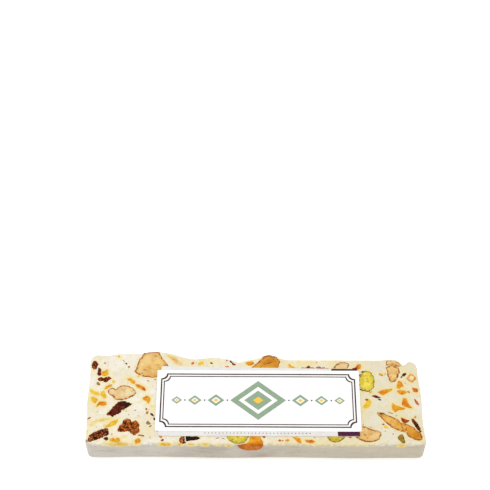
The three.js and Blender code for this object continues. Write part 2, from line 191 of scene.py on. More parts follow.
def endAt(side, y):
    # nearly straight ends with a slow wave; each leans in a little
    way = (y - bar["front"]) / (bar["back"] - bar["front"])
    lean = bar["leanRight"] * way if side > 0 else bar["leanLeft"] * (1 - way)
    return side * (bar["length"] / 2 - 0.25 - lean) + 0.25 * np.sin(y / 4 + side)


def cornerInset(distance, radius):
    # how far a rounded corner stands in, this far from the edge that it starts on
    inside = np.clip(radius - distance, 0, radius)
    return radius - np.sqrt(np.maximum(radius ** 2 - inside ** 2, 0))


def planPoint(u, v, inset, share):
    # The outline drawn in by inset, as a map of the unit square: u runs from the left end to the
    # right one and v from the front edge to the back one, with the corners taken off both ends.
    depth = bar["back"] - bar["front"] - 2 * inset
    fromFront = v * depth
    fromBack = (1 - v) * depth
    frontRadius = bar["frontCorner"] - 0.5 * inset
    leftIn = np.maximum(cornerInset(fromFront, frontRadius),
                        cornerInset(fromBack, bar["backLeftCorner"] - 0.5 * inset))
    rightIn = np.maximum(cornerInset(fromFront, frontRadius),
                         cornerInset(fromBack, bar["backRightCorner"] - 0.5 * inset))
    rowY = bar["front"] + inset + fromFront
    left = endAt(-1, rowY) + inset + leftIn
    right = endAt(1, rowY) - inset - rightIn
    x = left + u * (right - left)
    y = frontAt(x) + inset + v * (backAt(x, share) - frontAt(x) - 2 * inset)
    return x, y


def rowShares():
    # shares of the way from front to back, bunched where the corners curve
    depth = bar["back"] - bar["front"]
    angles = np.linspace(0, math.pi / 2, 7)[:-1]
    frontRows = bar["frontCorner"] * (1 - np.cos(angles)) / depth
    backRows = 1 - bar["backRightCorner"] * (1 - np.cos(angles)) / depth
    low = bar["frontCorner"] / depth
    high = 1 - bar["backRightCorner"] / depth
    middle = np.linspace(low, high, round((high - low) * depth / bar["grid"]))
    return np.concatenate([frontRows, middle, backRows[::-1]])


def cutRim(node):
    # The corners of a CAD piece's cut face, in order: its top triangles' sides that no other shares.
    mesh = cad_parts[node].data
    spots = np.zeros(len(mesh.vertices) * 3)
    mesh.vertices.foreach_get("co", spots)
    order = np.zeros(len(mesh.loops), int)
    mesh.loops.foreach_get("vertex_index", order)
    spots = np.round(spots.reshape(-1, 3) / mm - (shiftX, shiftY, 0), 2)
    corners = spots[order].reshape(-1, 3, 3)
    top = corners[(corners[:, :, 2] > spots[:, 2].max() - 0.02).all(1)][:, :, :2]
    sides = [(tuple(a), tuple(b)) for cell in top.tolist() for a, b in zip(cell, cell[1:] + cell[:1])]
    shared = set(sides)
    after = {a: b for a, b in sides if (b, a) not in shared}
    rim = [next(iter(after))]
    while len(rim) < len(after):
        rim.append(after[rim[-1]])
    return np.array(rim)


def evenly(corners, count):
    # points at equal steps along a closed outline
    closed = np.concatenate([corners, corners[:1]])
    reach = np.concatenate([[0], np.cumsum(np.hypot(*np.diff(closed, axis=0).T))])
    steps = np.arange(count) / count * reach[-1]
    return np.stack([np.interp(steps, reach, closed[:, 0]), np.interp(steps, reach, closed[:, 1])], 1)


def outward(outline):
    # unit normals of an anticlockwise outline
    along = np.roll(outline, -1, 0) - np.roll(outline, 1, 0)
    along /= np.hypot(*along.T)[:, None]
    return np.stack([along[:, 1], -along[:, 0]], 1)


def middleOf(corners):
    # The point that sees the whole outline from furthest inside: the best of a grid, by its least
    # distance to the left of any side's line.
    share = np.linspace(0.04, 0.96, 41)
    grid = np.stack(np.meshgrid(share, share), -1).reshape(-1, 2)
    spots = corners.min(0) + grid * np.ptp(corners, axis=0)
    side = np.roll(corners, -1, 0) - corners
    side = side / np.hypot(*side.T)[:, None]
    away = spots[:, None] - corners
    leftOf = side[:, 0] * away[..., 1] - side[:, 1] * away[..., 0]
    return spots[leftOf.min(1).argmax()]


def insideBy(corners, x, y):
    # How far plan points lie inside an outline, negative outside: the distance to the nearest side,
    # with its sign from an even or odd count of the sides that a line to the right crosses.
    side = np.roll(corners, -1, 0) - corners
    fromX, fromY = x[..., None] - corners[:, 0], y[..., None] - corners[:, 1]
    share = np.clip((fromX * side[:, 0] + fromY * side[:, 1]) / (side ** 2).sum(1), 0, 1)
    gap = np.hypot(fromX - share * side[:, 0], fromY - share * side[:, 1]).min(-1)
    spans = (fromY < 0) != (fromY < side[:, 1])
    slope = side[:, 0] / np.where(side[:, 1] == 0, 1, side[:, 1])
    crossed = (spans & (fromX < slope * fromY)).sum(-1) % 2 == 1
    return np.where(crossed, gap, -gap)


nodeNames = sorted(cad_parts)
setIn = {name: cutRim(name) for name in nodeNames if not name.startswith(("nougat", "label"))}

labelLow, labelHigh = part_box("label_base")
labelPlan = {
    "middle": ((labelLow.x + labelHigh.x) / 2 / mm - shiftX, (labelLow.y + labelHigh.y) / 2 / mm - shiftY),
    "size": ((labelHigh.x - labelLow.x) / mm, (labelHigh.y - labelLow.y) / mm),
    "bottom": labelLow.z / mm,
    "thickness": (labelHigh.z - labelLow.z) / mm,
    "over": 1.2,                # how far the white panel stands out past the lower sheet at each end
}


def underLabel(x, y, margin=1.5):
    # 1 under the label, falling to 0 over the margin outside it
    outX = np.abs(x - labelPlan["middle"][0]) - labelPlan["size"][0] / 2 - labelPlan["over"]
    outY = np.abs(y - labelPlan["middle"][1]) - labelPlan["size"][1] / 2
    return 1 - ramp(0, margin, np.maximum(outX, outY))


def cutFace(x, y):
    # The nougat's top: height plus slow swell, finer unevenness and the drag of the knife, all
    # flattened under the label.
    spots = withHeight(x, y, 0)
    rise = 0.10 * waves(spots, 22, 1) + 0.05 * waves(spots, 6, 2) + 0.03 * waves(spots, 2.2, 3)
    rise += 0.015 * waves(spots * (0.25, 1, 1), 1.6, 4)
    return bar["height"] + rise * (1 - underLabel(x, y)) - 0.04 * underLabel(x, y)


def underFace(x, y):
    # The underside: hollows of a tenth of a millimetre or so between the spots that it rests on.
    spots = withHeight(x, y, 0)
    return np.maximum(0.07 + 0.07 * waves(spots, 14, 5) + 0.03 * waves(spots, 3, 6), 0)


def startMaterial(name, *labels):
    # a material, its node tree, Object coordinates, and the mesh's point attributes that it reads
    material = bpy.data.materials.new(name)
    material.use_nodes = True
    tree = material.node_tree
    place = addNode(tree, "ShaderNodeTexCoord").outputs["Object"]
    notes = [addNode(tree, "ShaderNodeAttribute", {"attribute_name": label}) for label in labels]
    return material, tree, place, *[note.outputs["Fac"] for note in notes]


def clouds(place, size, detail, stretch=(1, 1, 1)):
    # a cloudy pattern on coordinates, 0 to 1, with features about this many mm across
    tree = place.id_data
    turned = addNode(tree, "ShaderNodeMapping", {"Scale": stretch}, {"Vector": place})
    settings = {"Scale": perMm(size), "Detail": detail}
    return addNode(tree, "ShaderNodeTexNoise", settings, {"Vector": turned.outputs[0]}).outputs["Fac"]


def combined(tree, parts, operation="MULTIPLY", held=False):
    # Parts multiplied or added one after the other. A part is a link, or a link with two of its values
    # that become 0 and 1, or that become the two values given after them.
    total = None
    for part in parts:
        if isinstance(part, tuple):
            link, low, high, *ends = part
            toLow, toHigh = ends or (0, 1)
            settings = {1: low, 2: high, 3: toLow, 4: toHigh}
            part = addNode(tree, "ShaderNodeMapRange", settings, {0: link}).outputs[0]
        if total is not None:
            settings = {"operation": operation, "use_clamp": held}
            part = addNode(tree, "ShaderNodeMath", settings, {0: total, 1: part}).outputs[0]
        total = part
    return total


def painted(tree, colour, *layers):
    # A colour, hex or a link, under layers of paint. Each layer is its colour and then the parts that
    # say how much of it shows where, multiplied.
    for paint, *parts in layers:
        mix = addNode(tree, "ShaderNodeMix", {"data_type": "RGBA"}, {0: combined(tree, parts)})
        for socket, coat in ((6, colour), (7, paint)):
            if isinstance(coat, str):
                mix.inputs[socket].default_value = linearColour(coat)
            else:
                tree.links.new(coat, mix.inputs[socket])
        colour = mix.outputs[2]
    return colour


def finishSurface(material, place, colour, look):
    # Colour, roughness, gloss, softness and bumps. Roughness is one value, or a patch size and the two
    # values that it wanders between. Softness is how much light goes in, how far in mm, and the shares
    # of red, green and blue. Each bump is a size, detail and depth in mm, one on top of the other.
    tree = material.node_tree
    shader = tree.nodes["Principled BSDF"]
    tree.links.new(colour, shader.inputs["Base Color"])
    if isinstance(look["roughness"], tuple):
        size, smooth, dull = look["roughness"]
        wander = combined(tree, [(clouds(place, size, 2), 0.3, 0.7, smooth, dull)])
        tree.links.new(wander, shader.inputs["Roughness"])
    else:
        shader.inputs["Roughness"].default_value = look["roughness"]
    shader.inputs["Specular IOR Level"].default_value = look["gloss"]
    if "softness" in look:
        weight, depth, shares = look["softness"]
        shader.inputs["Subsurface Weight"].default_value = weight
        shader.inputs["Subsurface Radius"].default_value = shares
        shader.inputs["Subsurface Scale"].default_value = depth * mm
    normal = None
    for size, detail, depth in look["bumps"]:
        links = {"Height": clouds(place, size, detail)}
        if normal is not None:
            links["Normal"] = normal
        bump = addNode(tree, "ShaderNodeBump", {"Strength": 1.0, "Distance": depth * mm}, links)
        normal = bump.outputs[0]
    tree.links.new(normal, shader.inputs["Normal"])
    return material


whippedNougat = {
    "light": "F0EBDF", "deep": "E9E0C9", "clot": "E2D3A3", "pore": "C8B178", "butter": "EDD986",
    "syrup": "CFC69C", "honey": "D0A81E", "fleck": "8E7234", "ghost": "DCC498",
    # the wall colours are darker than the cut face's, partly the nougat's greyer tint and partly painted
    # shade
    "wallLight": "CAC5BD", "wallDeep": "AAA093", "wallWarm": "B9AE93", "wallGrey": "8E8A88",
    "wallChalk": "D6D0C4", "roughness": (1.6, 0.42, 0.62), "gloss": 0.3,
    "softness": (0.12, 0.8, (1.0, 0.9, 0.7)), "bumps": [(1.4, 4, 0.16), (0.35, 2, 0.04)],
}


def makeNougatMaterial(look):
    # Egg-white nougat, whipped and cut: cream that lets light a little way in, whiter where more air
    # is beaten in, buttery to honey-coloured where fruit syrup soaks it, greyer on its walls, partly its
    # own tint and partly painted shade for walls that face away from the light.
    labels = ("warm", "shade", "wall", "stain", "ghost")
    material, tree, place, warm, shade, wall, stain, ghost = startMaterial("whippedNougat", *labels)
    face = painted(
        tree, look["deep"],
        (look["light"], (clouds(place, 9, 4), 0.36, 0.6)),
        (look["clot"], (clouds(place, 1.9, 4), 0.5, 0.7, 0, 0.6)),
        (look["pore"], (clouds(place, 0.9, 3), 0.6, 0.74, 0, 0.4)),
        (look["syrup"], (warm, 0, 1, 0, 0.6)),
        (look["butter"], (clouds(place, 5, 3), 0.52, 0.7, 0, 0.5), (clouds(place, 1.5, 3), 0.42, 0.62)),
        (look["fleck"], (clouds(place, 0.6, 1), 0.74, 0.79, 0, 0.7)),
    )
    grey = combined(tree, [shade, (clouds(place, 14, 3), 0.35, 0.65, -0.2, 0.2)], "ADD", held=True)
    # the walls' colour, darkened with painted shade
    wallWithShade = painted(
        tree, look["wallLight"],
        (look["wallDeep"], grey),
        (look["wallGrey"], (clouds(place, 2.6, 5, (0.35, 1, 1.7)), 0.5, 0.68, 0, 0.85), grey),
        (look["wallWarm"], warm),
        (look["wallChalk"], (clouds(place, 1.5, 4), 0.58, 0.76, 0, 0.35)),
    )
    uneven = (clouds(place, 2.1, 4), 0.3, 0.66, 0.25, 1)
    colour = painted(
        tree, face,
        (wallWithShade, wall),
        (look["butter"], (stain, 0.02, 0.5), uneven),
        (look["honey"], (stain, 0.45, 1), uneven),
        (look["ghost"], ghost),
    )
    return finishSurface(material, place, colour, look)


nutCut = {
    "cream": "EBD9A6", "pale": "ECC066", "gold": "E2A02C", "tan": "D08A20", "brown": "B0640C",
    "vein": "96520F", "crumb": "F5E2A8", "skin": "A85424", "oldSkin": "74300E", "skinWidth": 0.5,
    "roughness": (1.2, 0.5, 0.7), "gloss": 0.12, "softness": (0.04, 0.5, (1.0, 0.6, 0.3)),
    "bumps": [(1.1, 4, 0.2), (0.3, 2, 0.05)],
}


def makeAlmondMaterial(look):
    # Roasted almond, cut: dry cream flesh toasted to tan in clouds, darker veins where it cracked, and
    # the thin red-brown skin as a ragged rim. The tone attribute runs from pale to well roasted.
    material, tree, place, tone, rim = startMaterial("cutAlmond", "tone", "rim")
    fresh = painted(tree, look["cream"], (look["pale"], (tone, 0, 0.25)), (look["gold"], (tone, 0.25, 0.5)))
    toasted = painted(tree, look["tan"], (look["brown"], (tone, 0.1, 1)))
    roast = combined(tree, [(clouds(place, 4.2, 4), 0.4, 0.66), (tone, 0, 0.3, 0.4, 1)])
    roast = combined(tree, [roast, (tone, 0.35, 1, 0, 0.75)], "ADD", held=True)
    edge = combined(tree, [rim, (clouds(place, 1.3, 4), 0.3, 0.7, -0.42, 0.36)], "ADD")
    skin = painted(tree, look["skin"], (look["oldSkin"], (clouds(place, 3, 3), 0.45, 0.65)))
    flesh = painted(
        tree, fresh,
        (toasted, roast),
        (look["tan"], (rim, 0.4, 1.6, 0.3, 0)),
        (look["vein"], (clouds(place, 1.5, 5, (0.6, 1, 1)), 0.6, 0.74, 0, 0.65)),
        (look["crumb"], (clouds(place, 0.6, 3), 0.56, 0.7), (tone, 0.1, 0.5, 0.5, 0.12)),
        (skin, (edge, 0.3 * look["skinWidth"], look["skinWidth"], 1, 0)),
    )
    return finishSurface(material, place, flesh, look)


kernelCut = {
    "heart": "F2DC4C", "green": "D0BC38", "ridge": "8E841E", "pale": "FAEFA0", "old": "8C6008",
    "skin": "6E5418", "skinWidth": 0.36, "roughness": (1, 0.5, 0.7), "gloss": 0.12,
    "softness": (0.04, 0.5, (0.8, 1.0, 0.3)), "bumps": [(1.2, 4, 0.2), (0.3, 2, 0.05)],
}


def makePistachioMaterial(look):
    # Pistachio kernel, cut: bright yellow-green flesh with olive ridges, inside a thin dark skin. The
    # tone attribute turns it to old olive near 1.
    material, tree, place, tone, rim = startMaterial("cutPistachio", "tone", "rim")
    edge = combined(tree, [rim, (clouds(place, 1.2, 4), 0.3, 0.7, -0.42, 0.34)], "ADD")
    flesh = painted(
        tree, look["green"],
        (look["heart"], (rim, 0.4, 2.6)),
        (look["green"], (clouds(place, 2.4, 4), 0.48, 0.66, 0, 0.8)),
        (look["ridge"], (clouds(place, 1.4, 5), 0.57, 0.7, 0, 0.85)),
        (look["pale"], (clouds(place, 1.1, 3), 0.56, 0.7, 0, 0.75)),
        (look["old"], (tone, 0.6, 1, 0, 0.8)),
        (look["skin"], (edge, 0.4 * look["skinWidth"], look["skinWidth"], 1, 0)),
    )
    return finishSurface(material, place, flesh, look)


dryFig = {
    "black": "1C0804", "dark": "3C1006", "maroon": "761E06", "rust": "CC6412", "sugarAndGlint": "E8B070",
    "roughness": (0.9, 0.45, 0.7), "gloss": 0.1, "bumps": [(1.2, 4, 0.3), (0.4, 2, 0.08)],
    "lump": 1.9,                # size of the sugary lumps in the flesh
    "warp": (1.2, 0.35),        # size and reach of the waves that bend their outlines
}


def makeFigMaterial(look):
    # Dried fig: moist and nearly black where it folds, with painted shade in the gaps between its lumps,
    # maroon to rust in the sugary flesh, with paler crystals and painted highlights on the lumps.
    # The tone attribute runs from black skin to light flesh.
    material, tree, place, tone = startMaterial("driedFig", "tone")
    size, reach = look["warp"]
    wave = addNode(tree, "ShaderNodeTexNoise", {"Scale": perMm(size)}, {"Vector": place}).outputs["Color"]
    for operation, setting in (("SUBTRACT", {1: (0.5, 0.5, 0.5)}), ("SCALE", {"Scale": 2 * reach * mm})):
        settings = {"operation": operation, **setting}
        wave = addNode(tree, "ShaderNodeVectorMath", settings, {0: wave}).outputs[0]
    bent = addNode(tree, "ShaderNodeVectorMath", {"operation": "ADD"}, {0: place, 1: wave}).outputs[0]
    settings = {"feature": "DISTANCE_TO_EDGE", "Scale": perMm(look["lump"])}
    lumps = addNode(tree, "ShaderNodeTexVoronoi", settings, {"Vector": bent}).outputs["Distance"]
    flesh = painted(
        tree, look["black"],
        (look["dark"], (tone, 0, 0.35)),
        (look["maroon"], (tone, 0.3, 0.7)),
        (look["rust"], (tone, 0.65, 1)),
        (look["rust"], (clouds(place, 1.7, 4), 0.52, 0.68, 0, 0.6), (tone, 0.1, 0.6)),
        # the black in folds, hollows and gaps between lumps: partly the fig's own dark flesh, partly painted
        # shade
        (look["black"], (clouds(place, 1.5, 4), 0.4, 0.52, 0.9, 0), (tone, 0.6, 0.95, 1, 0.3)),
        (look["black"], (lumps, 0.03, 0.15, 0.9, 0), (tone, 0.5, 0.8)),
        (look["black"], (clouds(place, 3, 3), 0.38, 0.45, 0.85, 0), (tone, 0.5, 0.9)),
        # pale sugar crystals, and painted highlights on the middles of the lumps
        (look["sugarAndGlint"], (clouds(place, 0.9, 3), 0.6, 0.67, 0, 0.9), (lumps, 0.12, 0.3), (tone, 0.55, 0.9)),
    )
    return finishSurface(material, place, flesh, look)


candiedPeel = {
    "lemon": "ECC41A", "amber": "E29606", "orange": "D66E04", "red": "A83208", "dark": "5C1606",
    "pith": "F8D668", "nougat": "EBDDB0", "roughness": 0.45, "gloss": 0.12,
    "softness": (0.06, 0.5, (1.0, 0.5, 0.15)), "bumps": [(1.0, 3, 0.14), (0.35, 2, 0.03)],
}


def makePeelMaterial(look):
    # Peel boiled in sugar: translucent and saturated, deeper at its edges, with paler pith in it. The
    # tone attribute runs from lemon yellow through orange and red to dark brown-red.
    material, tree, place, tone, rim, veil = startMaterial("candiedPeel", "tone", "rim", "veil")
    tone = combined(tree, [tone, (clouds(place, 1.8, 3), 0.3, 0.7, -0.16, 0.16)], "ADD")
    flesh = painted(
        tree, look["lemon"],
        (look["amber"], (tone, 0.05, 0.3)),
        (look["orange"], (tone, 0.3, 0.55)),
        (look["red"], (tone, 0.55, 0.8)),
        (look["dark"], (tone, 0.8, 1.05)),
        (look["pith"], (clouds(place, 1, 3), 0.55, 0.7, 0, 0.4), (tone, 0.45, 0.75, 1, 0.1)),
        (look["red"], (rim, 0.1, 0.5, 0.16, 0), (clouds(place, 0.9, 3), 0.35, 0.6)),
        (look["nougat"], veil),
    )
    return finishSurface(material, place, flesh, look)


glassyFruit = {
    "gold": "ECA61E", "orange": "D67606", "deep": "B05206", "brown": "A2560E", "light": "F5C656",
    "roughness": 0.3, "gloss": 0.08, "softness": (0.04, 0.8, (1.0, 0.45, 0.1)), "bumps": [(1.6, 3, 0.14)],
}


def makeFruitMaterial(look):
    # Candied fruit: a clear amber jelly, golden where thin, deep orange where thick, with paler patches
    # that are partly painted highlights, and browner where the mould's wall cut it, partly painted shade.
    material, tree, place, rim, side = startMaterial("candiedFruit", "rim", "side")
    # the part in the front wall: browner, partly its cut colour and partly painted shade
    shadedWallPart = painted(tree, look["brown"], (look["orange"], (clouds(place, 2.2, 4), 0.38, 0.66)))
    colour = painted(
        tree, look["gold"],
        (look["orange"], (clouds(place, 4.5, 3), 0.4, 0.62)),
        (look["deep"], (clouds(place, 3.2, 3), 0.56, 0.7, 0, 0.7)),
        # paler patches: partly the jelly's colour, partly painted highlights
        (look["light"], (clouds(place, 1.6, 4), 0.58, 0.74, 0, 0.7)),
        (look["deep"], (rim, 0, 0.9, 0.15, 0)),
        (shadedWallPart, side),
    )
    return finishSurface(material, place, colour, look)


def makePaperMaterial(name, look):
    # Paper: even colour with the faintest cloudiness, soft sheen, fibres just felt.
    material, tree, place = startMaterial(name)
    colour = painted(tree, look["colour"], (look["shade"], (clouds(place, 6, 3), 0.35, 0.7)))
    return finishSurface(material, place, colour, look)


nougatMaterial = makeNougatMaterial(whippedNougat)
almondMaterial = makeAlmondMaterial(nutCut)
pistachioMaterial = makePistachioMaterial(kernelCut)
figMaterial = makeFigMaterial(dryFig)
peelMaterial = makePeelMaterial(candiedPeel)
amberMaterial = makeFruitMaterial(glassyFruit)
print("materials made")


nougatShape = {
    # wall rows from the cut face down: height below the top (or above the underside), inset, swell share
    "top": [(0.03, 0.42, 1), (0.10, 0.24, 1), (0.22, 0.12, 1), (0.42, 0.04, 1), (0.75, 0, 1)],
    "between": 22,
    "bottom": [(1.4, 0.15, 0.55), (0.8, 0.35, 0.52), (0.4, 0.6, 0.5), (0.14, 0.9, 0.47),
               (0.03, 1.15, 0.46)],
    "topInset": 0.7,
    "bottomInset": 1.4,
    "bottomShare": 0.45,
    "draft": 0.1,               # how far the walls draw in between the top and bottom rows
    "edge": 1.2,                # how far in from the edges the two faces' unevenness fades out
    "rimShade": 0.4,             # how much of the walls' colour, with its painted shade, the front rim and the underside show
    "underGrey": 0.35,
}


# how grey and how warm the walls are along the bar: places and values
wallShade = ((-75, -55, -30, 5, 30, 75), (0.3, 0.35, 0.75, 0.7, 0.45, 0.5))
wallWarmth = ((-75, -20, 25, 60, 75), (0.0, 0.1, 0.4, 0.65, 0.6))


def wallLevels():
    # height, inset and swell share of each wall row, from the cut face to the underside
    rows = [(bar["height"] - drop, inset, share) for drop, inset, share in nougatShape["top"]]
    firstZ = rows[-1][0]
    lastZ, lastShare = nougatShape["bottom"][0][::2]
    for step in np.linspace(0, 1, nougatShape["between"] + 2)[1:-1]:
        z = firstZ + (lastZ - firstZ) * step
        rows.append((z, nougatShape["draft"] * step ** 3, 1 + (lastShare - 1) * step))
    return rows + nougatShape["bottom"]


levels = wallLevels()
levelZ, levelInset, levelShare = np.array(levels)[::-1].T


def wallPush(spots):
    # How far the wall stands out at each point: nearly smooth where it lay against the mould, with
    # faint level streaks, and lumpy along the back.
    z = spots[..., 2]
    backward = ramp(5, 18, spots[..., 1])
    lumps = 0.42 * waves(spots, 7, 11) + 0.22 * waves(spots, 2.8, 12)
    calm = 0.07 * waves(spots * (0.3, 1, 1), 5, 13) + 0.03 * waves(spots, 1.5, 14)
    return ramp(0, 1.6, bar["height"] - z) * ramp(0, 1.2, z) * (calm + backward * lumps)


def onFace(face, a, b, h):
    # A place on one of the bar's faces: a to the right and b up as that face is looked at, h out of it.
    if face == "top":
        return withHeight(a, b, cutFace(a, b) + h)
    if face == "under":
        return withHeight(a, -b, underFace(a, -b) - h)
    inset = np.interp(b, levelZ, levelInset)
    share = np.interp(b, levelZ, levelShare)
    if face == "front":
        spots = withHeight(a, frontAt(a) + inset, b)
        return spots - (h + wallPush(spots))[..., None] * (0, 1, 0)
    if face == "back":
        spots = withHeight(-a, backAt(-a, share) - inset, b)
        return spots + (h + wallPush(spots))[..., None] * (0, 1, 0)
    side = 1 if face == "right" else -1
    y = side * a
    spots = withHeight(endAt(side, y) - side * inset, y, b)
    return spots + (h + wallPush(spots))[..., None] * (side, 0, 0)


# where syrup has soaked the nougat: x, y, half length, half width, turn in degrees, strength
soaked = [
    (-68, -10.5, 6.5, 1.2, 14, 0.8), (-72.5, -12.8, 1.6, 1.2, 0, 0.7), (-74.3, -16.5, 0.8, 1.8, 0, 0.8),
    (-57.2, -18.4, 1.6, 1, 0, 0.6), (-75, -2, 0.8, 2, 0, 0.5), (-74.6, 1, 0.7, 5, 0, 0.4),
    (-62, 22.2, 2, 1.2, 0, 0.35), (-45, -6, 2, 5, 0, 0.35), (-46.5, -15, 1.5, 3, 0, 0.35),
    (-55, 10, 5, 2, -30, 0.25), (-31, 20, 6, 2.2, -20, 0.35), (-20, 20, 7, 1.5, -6, 0.35),
    (-29, 18.5, 2.2, 0.5, 0, 0.6), (10, 19.5, 6, 2, 0, 0.4), (22, 19.5, 7, 2.2, 0, 0.45),
    (28, 19.8, 1.5, 1, 0, 0.5), (38, 19.2, 8, 2.2, 0, 0.4), (66, 16, 5, 4, -30, 0.3),
    (67, -2, 3, 2, 0, 0.4), (48.5, -3, 1.4, 7, 0, 0.4), (46, -21, 8, 2, 0, 0.35),
    (30, -21.5, 12, 1.2, 0, 0.4), (12, -21.2, 8, 1.4, 0, 0.35), (-48.4, -2.4, 1, 0.8, 0, 0.6),
    (-45.9, -3.6, 1.8, 0.8, -20, 0.6), (-44.4, -13.8, 0.6, 1.7, 0, 0.55),
    (-56.9, -18.7, 1.1, 0.8, 0, 0.55),
]
# and the smears of honey colour along the front edge: x, y, half length, half width, strength
smears = [
    (-60, -22.3, 5.5, 1.3, 1.2), (-58.2, -22.5, 2.4, 0.7, 2.4), (-62.6, -22.4, 1.2, 0.5, 1.8),
    (-52, -22.6, 2, 0.9, 0.7), (-38.6, -22.5, 1.8, 0.6, 2.2), (-39.5, -22.5, 2.8, 1.2, 1.4),
    (-33, -22.3, 2, 0.9, 0.9), (-28, -22.3, 2.4, 0.8, 0.9), (-21.5, -22.2, 2.4, 0.9, 1),
    (-16, -22.2, 1.6, 0.7, 0.7), (-11.5, -22.5, 1.8, 1, 0.9), (64.4, -22.5, 1.8, 1.1, 1.2),
]
# nuts that lie just under a face and show through it: x, y, z, radius, strength
buried = [
    (-75, 6, 6, 5, 0.2), (-75, -12, 5, 4, 0.2), (-58, 24.5, 6, 6, 0.2), (-30, 22, 5, 5, 0.2),
    (18, 22, 6, 6, 0.2), (44, 22, 5, 5, 0.15), (75, 2, 6, 5, 0.2), (74, -14, 8, 4, 0.15),
    (-50, -8, 0, 7, 0.5), (-15, 9, 0, 6, 0.4), (22, -6, 0, 8, 0.5), (52, 8, 0, 6, 0.4),
    (-66, 15, 0, 5, 0.4), (0, -17, 0, 5, 0.4), (60, -15, 0, 4, 0.4), (-40, -23, 5, 3, 0.12),
    (33, -23, 11, 4, 0.14), (-12, -23, 5, 3, 0.1),
]


def soakedAt(points):
    # how far syrup has soaked each point: soft ovals, fading a little way down the walls
    share = np.zeros(points.shape[:-1])
    alongEdge = [(*oval, 0, strength) for *oval, strength in smears]
    for x, y, halfLength, halfWidth, turn, strength in soaked + alongEdge:
        dx, dy = points[..., 0] - x, points[..., 1] - y
        cos, sin = math.cos(math.radians(turn)), math.sin(math.radians(turn))
        spread = ((cos * dx + sin * dy) / halfLength) ** 2 + ((cos * dy - sin * dx) / halfWidth) ** 2
        share = np.maximum(share, strength * np.exp(-spread))
    return share * ramp(bar["height"] - 2.2, bar["height"] - 0.4, points[..., 2])


def buriedAt(points):
    # how strongly a nut shows through at each point, 0 to 1: soft balls of influence
    share = np.zeros(points.shape[:-1])
    uneven = 1 + 0.25 * waves(points, 3, 21)
    for x, y, z, radius, strength in buried:
        away = np.linalg.norm(points - (x, y, z), axis=-1) / radius * uneven
        share = np.maximum(share, strength * ramp(1, 0.45, away))
    return share


pocket = {
    "deep": 1.2,                # how far the cut face sinks under nuts and figs
    "shallow": 0.6,             # and under slim pieces
    "begins": 0.3,              # how far inside the outline it starts to sink and is all the way down
    "whole": 0.9,
    "spread": 0.85,             # how far syrup spreads round a piece
    "reach": 3.0,               # past which it is left out
    "fruit": 0.8,               # how strong it is round fruit
    "nut": 0.36,                # and round nuts and figs
}


def pocketDepth(x, y):
    # The cut face sinks under each piece, from well inside its outline so that no gap opens round it,
    # and syrup stains it near by.
    sink = np.zeros(x.shape)
    stain = np.zeros(x.shape)
    for name, corners in setIn.items():
        low, high = corners.min(0) - pocket["reach"], corners.max(0) + pocket["reach"]
        near = (x > low[0]) & (x < high[0]) & (y > low[1]) & (y < high[1])
        inside = insideBy(corners, x[near], y[near])
        slim = name.startswith(("peel", "cherry"))
        depth = pocket["shallow" if slim else "deep"]
        sink[near] = np.maximum(sink[near], depth * ramp(pocket["begins"], pocket["whole"], inside))
        strength = pocket["fruit" if slim or name == "candied_fruit" else "nut"]
        halo = strength * np.exp(-np.maximum(-inside, 0) / pocket["spread"])
        stain[near] = np.maximum(stain[near], halo)
    return sink, stain


def makeNougat():
    # Three sheets that share their edges: the cut face and the underside, each a map of the unit
    # square, and a band of wall rows carried round the outline between them.
    v = rowShares()
    u = np.linspace(0, 1, round(bar["length"] / bar["grid"]))
    gridU, gridV = np.meshgrid(u, v, indexing="ij")
    topX, topY = planPoint(gridU, gridV, nougatShape["topInset"], 1)
    sink, stain = pocketDepth(topX, topY)
    width = bar["back"] - bar["front"]
    fromEnd = np.minimum(gridU, 1 - gridU) * bar["length"]
    fromSide = np.minimum(gridV, 1 - gridV) * width
    edgeBlend = ramp(0, nougatShape["edge"], np.minimum(fromEnd, fromSide))
    topZ = bar["height"] + (cutFace(topX, topY) - bar["height"]) * edgeBlend - sink
    lowX, lowY = planPoint(gridU, gridV, nougatShape["bottomInset"], nougatShape["bottomShare"])
    lowZ = underFace(lowX, lowY) * edgeBlend

    loop = gridLoop(len(u), len(v))
    loopU, loopV = gridU.ravel()[loop], gridV.ravel()[loop]
    loopTop = bar["height"] - sink.ravel()[loop]
    rings = []
    for z, inset, share in levels:
        x, y = planPoint(loopU, loopV, inset, share)
        along = np.stack([np.roll(x, -1) - np.roll(x, 1), np.roll(y, -1) - np.roll(y, 1)], 1)
        along /= np.linalg.norm(along, axis=1, keepdims=True)
        push = wallPush(withHeight(x, y, z))
        rings.append(withHeight(x + along[:, 1] * push, y - along[:, 0] * push, np.minimum(z, loopTop)))
    rings = np.array(rings)

    top = withHeight(topX, topY, topZ).reshape(-1, 3)
    low = withHeight(lowX, lowY, lowZ).reshape(-1, 3)
    points = np.concatenate([top, low, rings.reshape(-1, 3)])
    faces = gridFaces(len(u), len(v), len(levels))

    # how much of the walls' colour, partly painted shade, shows: it begins at the front rim, unevenly, and
    # lower elsewhere
    uneven = 0.35 * waves(withHeight(topX, topY, 0), 3, 19)
    forward = ramp(-19, -21, rings[:, :, 1])
    drop = bar["height"] - rings[:, :, 2]
    drop += 0.3 * waves(rings.reshape(-1, 3), 2, 20).reshape(len(rings), -1)
    rimShade = nougatShape["rimShade"] * ramp(0.4, -0.2, width * gridV + uneven)
    wallGrey = ramp(0.5 - forward, 2 - 1.2 * forward, drop)
    grey = np.concatenate([rimShade.ravel(), np.full(len(low), nougatShape["underGrey"]), wallGrey.ravel()])
    halo = np.concatenate([stain.ravel(), np.zeros(len(points) - len(top))])
    notes = {"wall": grey, "stain": np.maximum(halo, soakedAt(points)), "ghost": buriedAt(points),
             "shade": np.interp(points[:, 0], *wallShade), "warm": np.interp(points[:, 0], *wallWarmth)}
    makePiece("nougatBar", points, faces, nougatMaterial, ["nougat"], notes)
    print("nougat:", len(points), "points")


makeNougat()


